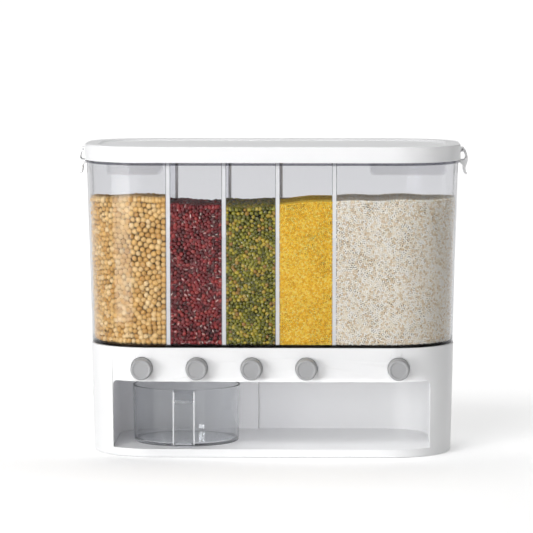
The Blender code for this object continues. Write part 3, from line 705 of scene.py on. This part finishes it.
def build_lid():
    """The lid, with a raised rim round its panel and two ears for each latch pin."""
    low, high = LID_Z
    points = [
        (LID_CAP_INSET, LID_PANEL_Z),
        (LID_RIM[1], LID_PANEL_Z),
        (LID_RIM[0], high),
        (0.0, high),
        (0.0, low),
        (LID_WALL, low),
        (LID_WALL, LID_CEILING_Z),
        (LID_CAP_INSET, LID_CEILING_Z),
    ]
    radii = [0, 0.0012, 0.0008, 0.0016, 0.0006, 0.0005, 0.0012, 0]
    profile = filleted(points, radii, closed=False, steps=6)
    lid = placed("lid_cover", shell(profile, lambda z: LID_HALF, LID_RADIUS, steps=48))
    root = LID_HALF[0] - LID_WALL / 2
    nose = arc(LATCH_PIN_X, LATCH_PIN_Z, EAR_RADIUS, -90, 10, 180)
    ear = [(root, LATCH_PIN_Z - EAR_ROOT_HALF)] + nose + [(root, LATCH_PIN_Z + EAR_ROOT_HALF)]
    near, far = EAR_SIDES_Y
    for low_y, high_y in ((near, far), (-far, -near)):
        combine(lid, prism(ear, "Y", low_y, high_y), "UNION")
        combine(lid, mirrored(prism(ear, "Y", low_y, high_y)), "UNION")
    smooth(lid, 40)
    show(shifted(lid), WHITE, "lid", "white_plastic", "lid")


def softened_copy(node, name, material, body, slot):
    """The CAD node's own shape with its edges rounded."""
    copy = placed(name, frame["nodes"][node].data.copy())
    bm = bmesh.new()
    bm.from_mesh(copy.data)
    bmesh.ops.remove_doubles(bm, verts=bm.verts, dist=1e-6)
    bmesh.ops.dissolve_limit(bm, angle_limit=math.radians(1), verts=bm.verts, edges=bm.edges)
    bm.to_mesh(copy.data)
    bm.free()
    soften(copy, SMALL_EDGE)
    show(copy, material, body, slot, node)


# --- measuring cup


def build_cup():
    """The measuring cup, with a strap handle that has a thumb scoop and a sunken panel."""
    low, high = CUP_Z
    rim, foot, wall = CUP_RIM_RADIUS, CUP_FOOT_RADIUS, CUP_WALL
    points = [
        (0.004, low + 0.0006),
        (foot - 0.0040, low + 0.0006),
        (foot - 0.0032, low),
        (foot, low),
        (rim, high),
        (rim - wall, high),
        (foot - wall, low + wall + 0.0004),
        (0.004, low + wall + 0.0004),
    ]
    radii = [0, 0.0004, 0.0004, 0.0026, 0.0007, 0.0007, 0.0022, 0]
    profile = filleted(points, radii, closed=False, steps=6)
    cup = placed("clear_cup", turned(profile, 128, CUP_CENTRE))
    front, plate = HANDLE_FRONT_Y, HANDLE_PLATE
    top, bottom = high - 0.0002, low + 0.0014
    upper_root = CUP_CENTRE[1] - rim + 0.0016
    lower_root = CUP_CENTRE[1] - foot + 0.0012
    side = filleted(
        [
            (upper_root, top),
            (front, top),
            (front, bottom),
            (lower_root, bottom),
            (lower_root, bottom + plate),
            (front + plate, bottom + plate),
            (front + plate, top - 0.0112),
            (upper_root, top - 0.0036),
        ],
        [0, 0.0030, 0.0045, 0, 0, 0.0024, 0.0016, 0],
        steps=6,
    )
    x0, x1 = CUP_CENTRE[0] - HANDLE_HALF, CUP_CENTRE[0] + HANDLE_HALF
    handle = placed("handle", prism(side, "X", x0, x1))
    face = [(x0, top + 0.001), (x0, bottom), (x1, bottom), (x1, top + 0.001)]
    face = filleted(face, [0, 0.0042, 0.0042, 0], steps=6)
    combine(handle, prism(face, "Y", front - 0.001, upper_root + 0.002), "INTERSECT")
    scoop = [
        (upper_root - 0.0012, top + 0.001),
        (upper_root - 0.0022, top - 0.0012),
        (front + 0.0006, top - 0.0088),
        (front - 0.001, top - 0.0090),
        (front - 0.001, top + 0.001),
    ]
    scoop_x = x0 + HANDLE_SCOOP_INSET, x1 - HANDLE_SCOOP_INSET
    combine(handle, prism(scoop, "X", *scoop_x), "DIFFERENCE")
    left, right = x0 + HANDLE_PANEL_INSET, x1 - HANDLE_PANEL_INSET
    foot_z, head_z = bottom + 0.0044, top - 0.0104
    panel = [(left, foot_z), (right, foot_z), (right, head_z), (left, head_z)]
    panel = filleted(panel, [0.0012] * 4, steps=4)
    combine(handle, prism(panel, "Y", front - 0.001, front + 0.0010), "DIFFERENCE")
    soften(handle, 0.00045, 3)
    combine(cup, handle.data, "UNION")
    bpy.data.objects.remove(handle)
    smooth(cup, 40)
    show(shifted(cup), CUP_CLEAR, "cup", "clear_plastic", "measuring_cup")


# --- springs


def build_spring(number):
    """A coil spring between the gate's lug and the deck's post, with closed end turns."""
    low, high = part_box(f"spring_{number + 1}")
    x, z = (low.x + high.x) / 2, (low.z + high.z) / 2
    radius = (high.z - low.z) / 2 - SPRING_CLEARANCE
    turns, wire = SPRING_TURNS, SPRING_WIRE
    count = int(turns * SPRING_STEPS)
    path = []
    for k in range(count + 1):
        share = k / count
        eased = share - math.sin(2 * math.pi * share) * SPRING_EASE
        angle = 2 * math.pi * turns * share
        y = low.y + wire + (high.y - low.y - 2 * wire) * eased
        path.append(Vector((x + radius * math.cos(angle), y, z + radius * math.sin(angle))))
    rings = []
    for k, point in enumerate(path):
        ahead = (path[min(k + 1, count)] - path[max(k - 1, 0)]).normalized()
        out = (point - Vector((x, point.y, z))).normalized()
        across = ahead.cross(out).normalized()
        angles = [2 * math.pi * j / 8 for j in range(8)]
        rings.append([point + (out * math.cos(a) + across * math.sin(a)) * wire for a in angles])
    spring = placed(f"return_spring_{number + 1}", loft(rings))
    smooth(spring, 40)
    show(spring, STEEL, "housing", "steel", f"spring_{number + 1}")
    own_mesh(spring)


# --- contents

SEED = 40
ROUNDS, QUICK_ROUNDS = 45, 12
KERNEL_PACKING = 0.98  # the kernels' volume as a share of the space, before they settle
KERNEL_SPREAD = 0.08
SEEN_BAND = 1.8  # kernels are made this many radii deep; behind them is the core
WALL_LAYER = 1.0
TOP_LAYER_SIDES = 0.012
WALL_GAP = 0.0001
HEAP_WAVE, HEAP_TURNS = 0.0006, (130, 75)  # height, and radians a metre, across and back
HEAP_DEPTH = 0.16
# Painted shade: the core behind the kernels gets a low shade and a dark tone, as deep shade.
CORE_SHADE, CORE_TONE = 0.15, 0.15
THROAT_HALF, THROAT_Y = (0.0118, 0.0053), 0.0025
THROAT_FOOT_Z, THROAT_Z = 0.0799, 0.0850
HOPPER_HALF, HOPPER_RIM_Z = (0.1730, 0.0754), 0.1074
HOPPER_GAP, HOPPER_RADIUS = 0.005, 0.053
# Painted shade: how a kernel darkens with depth: its start, the radii over which it falls by 1, and
# its floor.
BEAN_SHADING = (1.22, 1.0, 0.04)
SEED_SHADING = (1.45, 2.0, 0.26)


class Compartment:
    """The space that one charge of grain fills, and the parts of it that can be seen."""

    def __init__(self, number, tilt):
        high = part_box(f"grain_{number + 1}")[1]
        self.number = number
        self.first, self.last = number == 0, number == len(DIVIDER_X)
        self.high = high
        edges = (-BIN_TOP_HALF[0],) + DIVIDER_X + (BIN_TOP_HALF[0],)
        self.x_low = edges[number] + (0.0 if self.first else DIVIDER_WEB / 2 + WALL_GAP)
        self.x_high = edges[number + 1] - (0.0 if self.last else DIVIDER_WEB / 2 + WALL_GAP)
        self.foot_z = BIN_FOOT_Z + BIN_WALL + 0.0003
        self.tilt = tilt
        self.random = np.random.default_rng(SEED + number)

    def walls(self, z):
        """Half sizes of the bin's inside at a height."""
        half_x, half_y = bin_half(z)
        return half_x - BIN_WALL - WALL_GAP, half_y - BIN_WALL - WALL_GAP

    def top(self, x, y):
        """Height of the heap's surface: gently uneven, and a little tilted across."""
        middle = (self.x_low + self.x_high) / 2
        width = self.x_high - self.x_low
        across = (x - middle) / width
        wave_x = HEAP_WAVE * np.sin(x * HEAP_TURNS[0] + self.number)
        wave_y = HEAP_WAVE * np.sin(y * HEAP_TURNS[1] + 2 * self.number)
        behind = (y + HEAP_DEPTH / 2) / HEAP_DEPTH
        return self.high.z + self.tilt[0] * across - self.tilt[1] * behind + (wave_x + wave_y)

    def depths(self, p, r):
        """How far each point is inside each face, less the kernel's radius, and inward normals."""
        x, y, z = p.T
        half_x, half_y = self.walls(z)
        depths = [half_y - r - y, y + half_y - r, self.top(x, y) - r - z, z - self.foot_z - r]
        normals = [(0, 1, 0), (0, -1, 0), (0, 0, 1), (0, 0, -1)]
        normals = [np.tile(np.array(v, float), (len(p), 1)) for v in normals]
        sides = []
        for x_face, sign, round_end in ((self.x_low, -1, self.first), (self.x_high, 1, self.last)):
            if not round_end:
                depths.append(sign * (x_face - x) - r)
                normals.append(np.tile(np.array((sign, 0.0, 0.0)), (len(p), 1)))
                sides.append(len(depths) - 1)
                continue
            depth = half_x - r - sign * x
            normal = np.tile(np.array((sign, 0.0, 0.0)), (len(p), 1))
            corner = BIN_RADIUS - BIN_WALL
            centre_x, centre_y = half_x - corner, half_y - corner
            off_x, off_y = sign * x - centre_x, np.abs(y) - centre_y
            in_corner = (off_x > 0) & (off_y > 0)
            reach = np.hypot(off_x, off_y) + 1e-9
            depth = np.where(in_corner, corner - r - reach, depth)
            turned_normal = np.stack([sign * off_x / reach, np.sign(y) * off_y / reach, 0 * x], 1)
            normal = np.where(in_corner[:, None], turned_normal, normal)
            depths.append(depth)
            normals.append(normal)
        return np.stack(depths), np.stack(normals), sides

    def seen_depth(self, p, r):
        """Depth below the nearest face that shows; a divider's face shows only near the top."""
        depths, normals, sides = self.depths(p, r)
        shown = depths.copy()
        shown[3] = 1.0
        deep = p[:, 2] < self.high.z - TOP_LAYER_SIDES
        for k in sides:
            shown[k] = np.where(deep, 1.0, shown[k])
        nearest = shown.argmin(0)
        index = np.arange(len(p))
        return shown[nearest, index], normals[nearest, index], depths, normals

    def settle(self, radius, band, rounds):
        """Kernel centres packed at random in a band under every face that shows."""
        low = np.array([self.x_low, -BIN_TOP_HALF[1], self.foot_z])
        high = np.array([self.x_high, BIN_TOP_HALF[1], self.high.z + 0.006])
        volume = np.prod(high - low)
        tries = int(volume * KERNEL_PACKING / (4 / 3 * math.pi * radius**3))
        p = low + (high - low) * self.random.random((tries, 3))
        depth, _, depths, _ = self.seen_depth(p, radius)
        p = p[(depth < band) & (depths.min(0) > -radius)]
        for _ in range(rounds):
            p = p + push_apart(p, 2 * radius * 0.97) * 0.5
            for _ in range(2):
                depth, normal, depths, normals = self.seen_depth(p, radius)
                outside = np.minimum(depths, 0.0)
                p = p + (normals * outside[:, :, None]).sum(0)
            sunk = np.maximum(depth - band, 0.0) * 0.5
            drawn = np.where(depth < WALL_LAYER * radius, np.maximum(depth, 0.0) * 0.2, 0.0)
            p = p + normal * (sunk + drawn)[:, None]
        return p


def push_apart(p, reach):
    """One step of separation for every pair of points nearer than reach."""
    cell = np.floor(p / reach).astype(np.int64)
    cell -= cell.min(0)
    size = cell.max(0) + 3
    key = ((cell[:, 0] + 1) * size[1] + cell[:, 1] + 1) * size[2] + cell[:, 2] + 1
    order = np.argsort(key, kind="stable")
    sorted_key = key[order]
    move = np.zeros_like(p)
    weight = np.zeros(len(p))
    for dx in (-1, 0, 1):
        for dy in (-1, 0, 1):
            for dz in (-1, 0, 1):
                wanted = key + (dx * size[1] + dy) * size[2] + dz
                start = np.searchsorted(sorted_key, wanted, "left")
                end = np.searchsorted(sorted_key, wanted, "right")
                most = int((end - start).max())
                for j in range(most):
                    slot = start + j
                    ok = np.nonzero(slot < end)[0]
                    other = order[slot[ok]]
                    gap = p[ok] - p[other]
                    distance = np.sqrt((gap**2).sum(1))
                    near = (distance < reach) & (distance > 1e-9)
                    ok, gap, distance = ok[near], gap[near], distance[near]
                    push = gap / distance[:, None] * (reach - distance)[:, None]
                    np.add.at(move, ok, push)
                    np.add.at(weight, ok, 1)
    return move / np.maximum(weight, 1)[:, None] * np.minimum(weight, 2)[:, None]


def ball(levels):
    """Points and triangles of a unit ball."""
    bm = bmesh.new()
    bmesh.ops.create_icosphere(bm, subdivisions=levels, radius=1.0)
    points = np.array([v.co for v in bm.verts])
    faces = np.array([[v.index for v in f.verts] for f in bm.faces])
    bm.free()
    return points, faces


def random_turns(count, random):
    """Rotation matrices spread evenly over all turns."""
    q = random.normal(size=(count, 4))
    q /= np.linalg.norm(q, axis=1)[:, None]
    w, x, y, z = q.T
    rows = [
        [1 - 2 * (y * y + z * z), 2 * (x * y - z * w), 2 * (x * z + y * w)],
        [2 * (x * y + z * w), 1 - 2 * (x * x + z * z), 2 * (y * z - x * w)],
        [2 * (x * z - y * w), 2 * (y * z + x * w), 1 - 2 * (x * x + y * y)],
    ]
    return np.array(rows).transpose(2, 0, 1)


def mean_radius(half_axes):
    return float(np.prod(half_axes)) ** (1 / 3)


def kernel_mesh(name, space, centres, half_axes, levels, shading):
    """One mesh of separate kernels with their tone, painted shade and own coordinates as
    attributes.
    """
    random = space.random
    points, faces = ball(levels)
    count, corners = len(centres), len(points)
    sizes = np.array(half_axes) * (1 + KERNEL_SPREAD * random.normal(size=(count, 1)).clip(-2, 2))
    local = np.tile(points, (count, 1, 1))
    shaped = local * sizes[:, None, :]
    world = np.einsum("nij,nkj->nki", random_turns(count, random), shaped) + centres[:, None, :]
    mesh = bpy.data.meshes.new(name)
    triangles = (faces[None] + (np.arange(count) * corners)[:, None, None]).reshape(-1, 3)
    mesh.vertices.add(count * corners)
    mesh.vertices.foreach_set("co", world.astype(np.float32).ravel())
    mesh.loops.add(len(triangles) * 3)
    mesh.loops.foreach_set("vertex_index", triangles.astype(np.int32).ravel())
    mesh.polygons.add(len(triangles))
    mesh.polygons.foreach_set("loop_start", np.arange(0, len(triangles) * 3, 3, dtype=np.int32))
    mesh.update(calc_edges=True)
    set_values(mesh, "tone", np.repeat(random.random(count), corners))
    radius = mean_radius(half_axes)
    # Painted shade: darker the deeper a point lies below the face that shows.
    depth = space.seen_depth(world.reshape(-1, 3) - (0, MIDDLE_Y, 0), 0.0)[0]
    start, fall, least = shading
    set_values(mesh, "shade", np.clip(start - depth / (fall * radius), least, 1.0))
    place = mesh.attributes.new("local", "FLOAT_VECTOR", "POINT")
    place.data.foreach_set("vector", local.astype(np.float32).ravel())
    mesh.shade_smooth()
    return mesh


def slab_ring(space, low, high, reach, radius, middle_y, z):
    """A compartment's outline, round at the ends that are the bin's own."""
    left, right, back = low + radius, high - radius, reach - radius
    corners = (
        ((high, reach), (right, back), 0, space.last),
        ((low, reach), (left, back), 90, space.first),
        ((low, -reach), (left, -back), 180, space.first),
        ((high, -reach), (right, -back), 270, space.last),
    )
    plan = []
    for sharp, centre, first_deg, is_round in corners:
        plan += arc(*centre, radius, first_deg, 12) if is_round else [sharp]
    return [(x, y + middle_y, z) for x, y in plan]


def heap_core(name, space, inset):
    """The bulk behind the visible kernels, down through the hopper to the outlet."""
    outlet = BUTTON_X[space.number]
    rings = []
    half_x, half_y = THROAT_HALF
    for z in (THROAT_FOOT_Z, THROAT_Z):
        rings.append(slab_ring(space, outlet - half_x, outlet + half_x, half_y, 0.001, THROAT_Y, z))
    low = max(space.x_low + HOPPER_GAP, HOPPER_GAP - HOPPER_HALF[0])
    high = min(space.x_high - HOPPER_GAP, HOPPER_HALF[0] - HOPPER_GAP)
    reach = HOPPER_HALF[1] - HOPPER_GAP
    rings.append(slab_ring(space, low, high, reach, HOPPER_RADIUS, MIDDLE_Y, HOPPER_RIM_Z))
    radius = BIN_RADIUS - BIN_WALL - inset
    for z in np.linspace(space.foot_z, space.high.z - inset - space.tilt[1], 12):
        half_x, half_y = space.walls(z)
        low = -half_x + inset if space.first else space.x_low + 0.0002
        high = half_x - inset if space.last else space.x_high - 0.0002
        rings.append(slab_ring(space, low, high, half_y - inset, radius, MIDDLE_Y, z))
    core = placed(name, loft(rings))
    count = len(core.data.vertices)
    # Painted shade: a dark tone and a low shade make the core look like shade between kernels.
    set_values(core.data, "tone", np.full(count, CORE_TONE))
    set_values(core.data, "shade", np.full(count, CORE_SHADE))
    core.data.attributes.new("local", "FLOAT_VECTOR", "POINT")
    return core


def build_contents(number, label, material, half_axes, tilt, levels, shading, pieces):
    """Fills a compartment: loose kernels where they can be seen, round a solid core."""
    space = Compartment(number, tilt)
    radius = mean_radius(half_axes)
    centres = space.settle(radius, SEEN_BAND * radius, ROUNDS)
    centres[:, 1] += MIDDLE_Y
    node = f"grain_{number + 1}"
    slot = next(s["material_slot"] for s in frame["record"]["subparts"] if s["node"] == node)
    front_first = np.argsort(centres[:, 1], kind="stable")
    for k, part in enumerate(np.array_split(front_first, pieces)):
        name = label if pieces == 1 else f"{label}_{('front', 'middle', 'rear')[k]}"
        piece = placed(name, kernel_mesh(name, space, centres[part], half_axes, levels, shading))
        show(piece, material, "housing", slot, *([node] if k == 0 else []))
    core = heap_core(f"{label}_core", space, radius * (SEEN_BAND + 0.2))
    show(core, material, "housing", slot)


# --- stage

FLOOR_RAMP_Y = (-0.1, 2.0)
FLOOR_SEEN = (0.14, 0.80)
FLOOR_BOUNCE = 0.15
BACKGROUND = 1.02
REFLECTED_SHARE = 0.38
WORLD_SHARES = (("Y", 0.21), ("Z", 0.10))
CAMERA_AT = (0.0612, -3.25, 0.4671)
CAMERA_YAW, CAMERA_PITCH = -0.02073, -0.08785
CAMERA_LENS = 222.04


def aim(obj, target):
    direction = Vector(target) - obj.location
    obj.rotation_euler = direction.to_track_quat("-Z", "Y").to_euler()


def softbox(name, azimuth, elevation, distance, size, power, target=(0, 0, 0.15)):
    """A rectangular lamp in watts. Azimuth is in degrees from the front to the viewer's left."""
    lamp = bpy.data.lights.new(name, "AREA")
    lamp.shape = "RECTANGLE"
    lamp.size, lamp.size_y = size
    lamp.energy = power
    obj = bpy.data.objects.new(name, lamp)
    a, e = math.radians(azimuth), math.radians(elevation)
    direction = Vector((-math.sin(a) * math.cos(e), -math.cos(a) * math.cos(e), math.sin(e)))
    obj.location = Vector(target) + direction * distance
    bpy.context.scene.collection.objects.link(obj)
    obj.visible_camera = False
    aim(obj, target)
    return obj


def build_floor():
    """A pale floor that stays white into the distance, where the lamps don't reach."""
    n = Nodes("floor_skin")
    tone = n.ramp(n.noise(3.0, 2.0), [(0.3, (0.93, 0.93, 0.93)), (0.7, (0.95, 0.95, 0.95))])
    far = n.remap(n.place()["Y"], FLOOR_RAMP_Y, FLOOR_SEEN)
    path = n.add("ShaderNodeLightPath")
    seen = n.maths("MAXIMUM", path.outputs["Is Camera Ray"], path.outputs["Is Glossy Ray"])
    glow = n.maths("ADD", n.maths("MULTIPLY", far, seen), FLOOR_BOUNCE)
    shader = n.add("ShaderNodeBsdfPrincipled", Base_Color=tone, Roughness=0.8)
    n.put(shader.inputs["Emission Strength"], glow)
    shader.inputs["Specular IOR Level"].default_value = 0.1
    shader.inputs["Emission Color"].default_value = (1, 1, 1, 1)
    material = n.finish(shader.outputs[0])
    bm = bmesh.new()
    bmesh.ops.create_grid(bm, x_segments=8, y_segments=8, size=30.0)
    mesh = bpy.data.meshes.new("floor")
    bm.to_mesh(mesh)
    bm.free()
    floor = placed("floor", mesh)
    mesh.materials.append(material)


def build_world():
    """White to the camera and weaker in reflections; as a light, it comes from behind and above."""
    n = Nodes("studio", world=True)
    where = n.add("ShaderNodeTexCoord").outputs["Generated"]
    towards = n.add("ShaderNodeSeparateXYZ", Vector=where)
    strength = 0.0
    for axis, share in WORLD_SHARES:
        part = n.maths("MAXIMUM", n.maths("MULTIPLY", towards.outputs[axis], share), 0.0)
        strength = n.maths("ADD", part, strength)
    light = n.add("ShaderNodeBackground", Color=(1, 1, 1), Strength=strength).outputs[0]
    white = n.add("ShaderNodeBackground", Color=(1, 1, 1), Strength=BACKGROUND).outputs[0]
    path = n.add("ShaderNodeLightPath").outputs
    reflected = n.maths("MULTIPLY", path["Is Glossy Ray"], REFLECTED_SHARE)
    seen = n.maths("MAXIMUM", path["Is Camera Ray"], reflected)
    bpy.context.scene.world = n.finish(n.mix_shader(seen, light, white))


def build_camera():
    data = bpy.data.cameras.new("camera")
    data.lens = CAMERA_LENS
    data.sensor_width = 36.0
    data.clip_end = 100.0
    camera = bpy.data.objects.new("camera", data)
    bpy.context.scene.collection.objects.link(camera)
    camera.location = CAMERA_AT
    camera.rotation_euler = (math.pi / 2 + CAMERA_PITCH, 0.0, -CAMERA_YAW)
    bpy.context.scene.camera = camera


def build_lamps():
    """The studio's lamps; returns the card, which only shows as a reflection."""
    low, card_target, bay_target = (0, 0, 0.06), (0, 0, 0.02), (0.05, -0.019, 0.0085)
    softbox("low_left", 42, 5, 2.4, (1.2, 0.5), 22, low)
    softbox("key", 35, 25, 2.4, (1.0, 1.0), 6)
    softbox("high", 20, 48, 2.4, (0.8, 0.8), 17, low)
    softbox("front", 5, 20, 3.0, (1.6, 1.0), 8)
    softbox("strip", -102, 12, 2.0, (0.18, 1.6), 3)
    softbox("overhead", 180, 72, 2.2, (1.2, 1.2), 17)
    card = softbox("card", 58, 8, 0.85, (0.46, 0.26), 3.6, card_target)
    card.visible_diffuse = False
    softbox("bay_fill", 0, 40, 0.09, (0.2, 0.014), 0.030, bay_target)
    return card


# --- assembly

build_camera()
build_world()
build_floor()
card = build_lamps()

build_base()
for number in range(len(BUTTON_X)):
    build_button(number)
    build_spring(number)
clear_bin = build_bin()
reflecting = bpy.data.collections.new("reflects_the_card")
reflecting.objects.link(clear_bin)
card.light_linking.receiver_collection = reflecting
for number in range(len(DIVIDER_X)):
    build_divider(number)
build_lid()
build_cup()
for side in ("left", "right"):
    body = f"latch_{side}"
    softened_copy(body, f"side_{body}", WHITE, body, "white_plastic")
    softened_copy(f"desiccant_box_{side}", f"sachet_box_{side}", FROSTED, "lid", "frosted_plastic")

SOYBEANS = kernels(
    "soybean_skin",
    [
        (0.0, (0.58, 0.31, 0.08)),
        (0.35, (0.71, 0.42, 0.13)),
        (0.7, (0.79, 0.52, 0.21)),
        (1.0, (0.86, 0.63, 0.33)),
    ],
    0.34,
    (0.30, 0.14, (0.40, 0.21, 0.07)),
)
ADZUKI = kernels(
    "adzuki_skin",
    [
        (0.0, (0.07, 0.004, 0.006)),
        (0.4, (0.15, 0.007, 0.011)),
        (0.75, (0.23, 0.013, 0.017)),
        (1.0, (0.34, 0.035, 0.030)),
    ],
    0.24,
    (0.48, 0.13, (0.75, 0.62, 0.55)),
)
MUNG = kernels(
    "mung_skin",
    [
        (0.0, (0.085, 0.085, 0.005)),
        (0.35, (0.16, 0.155, 0.010)),
        (0.6, (0.29, 0.265, 0.020)),
        (0.82, (0.50, 0.37, 0.04)),
        (1.0, (0.30, 0.14, 0.03)),
    ],
    0.26,
    (0.35, 0.11, (0.62, 0.58, 0.42)),
)
MILLET = kernels(
    "millet_skin",
    [
        (0.0, (0.80, 0.42, 0.01)),
        (0.4, (0.94, 0.58, 0.03)),
        (0.75, (0.96, 0.70, 0.08)),
        (1.0, (0.97, 0.80, 0.20)),
    ],
    0.5,
)
SESAME = kernels(
    "sesame_skin",
    [
        (0.0, (0.74, 0.58, 0.38)),
        (0.3, (0.92, 0.84, 0.69)),
        (0.65, (0.96, 0.92, 0.83)),
        (1.0, (0.97, 0.95, 0.90)),
    ],
    0.5,
)
# Name, skin, kernels' half axes, the heap's rise to the right and fall to the rear, how finely
# each kernel is divided, how it darkens with depth as painted shade, and the number of pieces.
CONTENTS = (
    ("soybeans", SOYBEANS, (0.0035, 0.0033, 0.0031), (0.001, 0.0070), 2, BEAN_SHADING, 1),
    ("adzuki_beans", ADZUKI, (0.0031, 0.0023, 0.0022), (-0.001, 0.0056), 2, BEAN_SHADING, 1),
    ("mung_beans", MUNG, (0.0027, 0.0022, 0.0021), (0.0, 0.0025), 2, BEAN_SHADING, 1),
    ("millet", MILLET, (0.00115, 0.00105, 0.0010), (0.003, 0.0040), 1, SEED_SHADING, 2),
    ("white_sesame", SESAME, (0.0017, 0.0012, 0.0010), (0.002, 0.0045), 1, SEED_SHADING, 3),
)
for number, row in enumerate(CONTENTS):
    build_contents(number, *row)

PLAIN = {
    "white_plastic": WHITE,
    "grey_plastic": GREY,
    "clear_plastic": CLEAR,
    "frosted_plastic": FROSTED,
    "silicone": SILICONE,
    "foot_rubber": FOOT_RUBBER,
    "steel": STEEL,
}
for row in frame["record"]["subparts"]:
    material = PLAIN.get(row["material_slot"])
    mesh = frame["nodes"][row["node"]].data
    if material and mesh.materials:
        mesh.materials[0] = material

scene = bpy.context.scene
scene.view_settings.view_transform = "Standard"
scene.cycles.transparent_max_bounces = 24
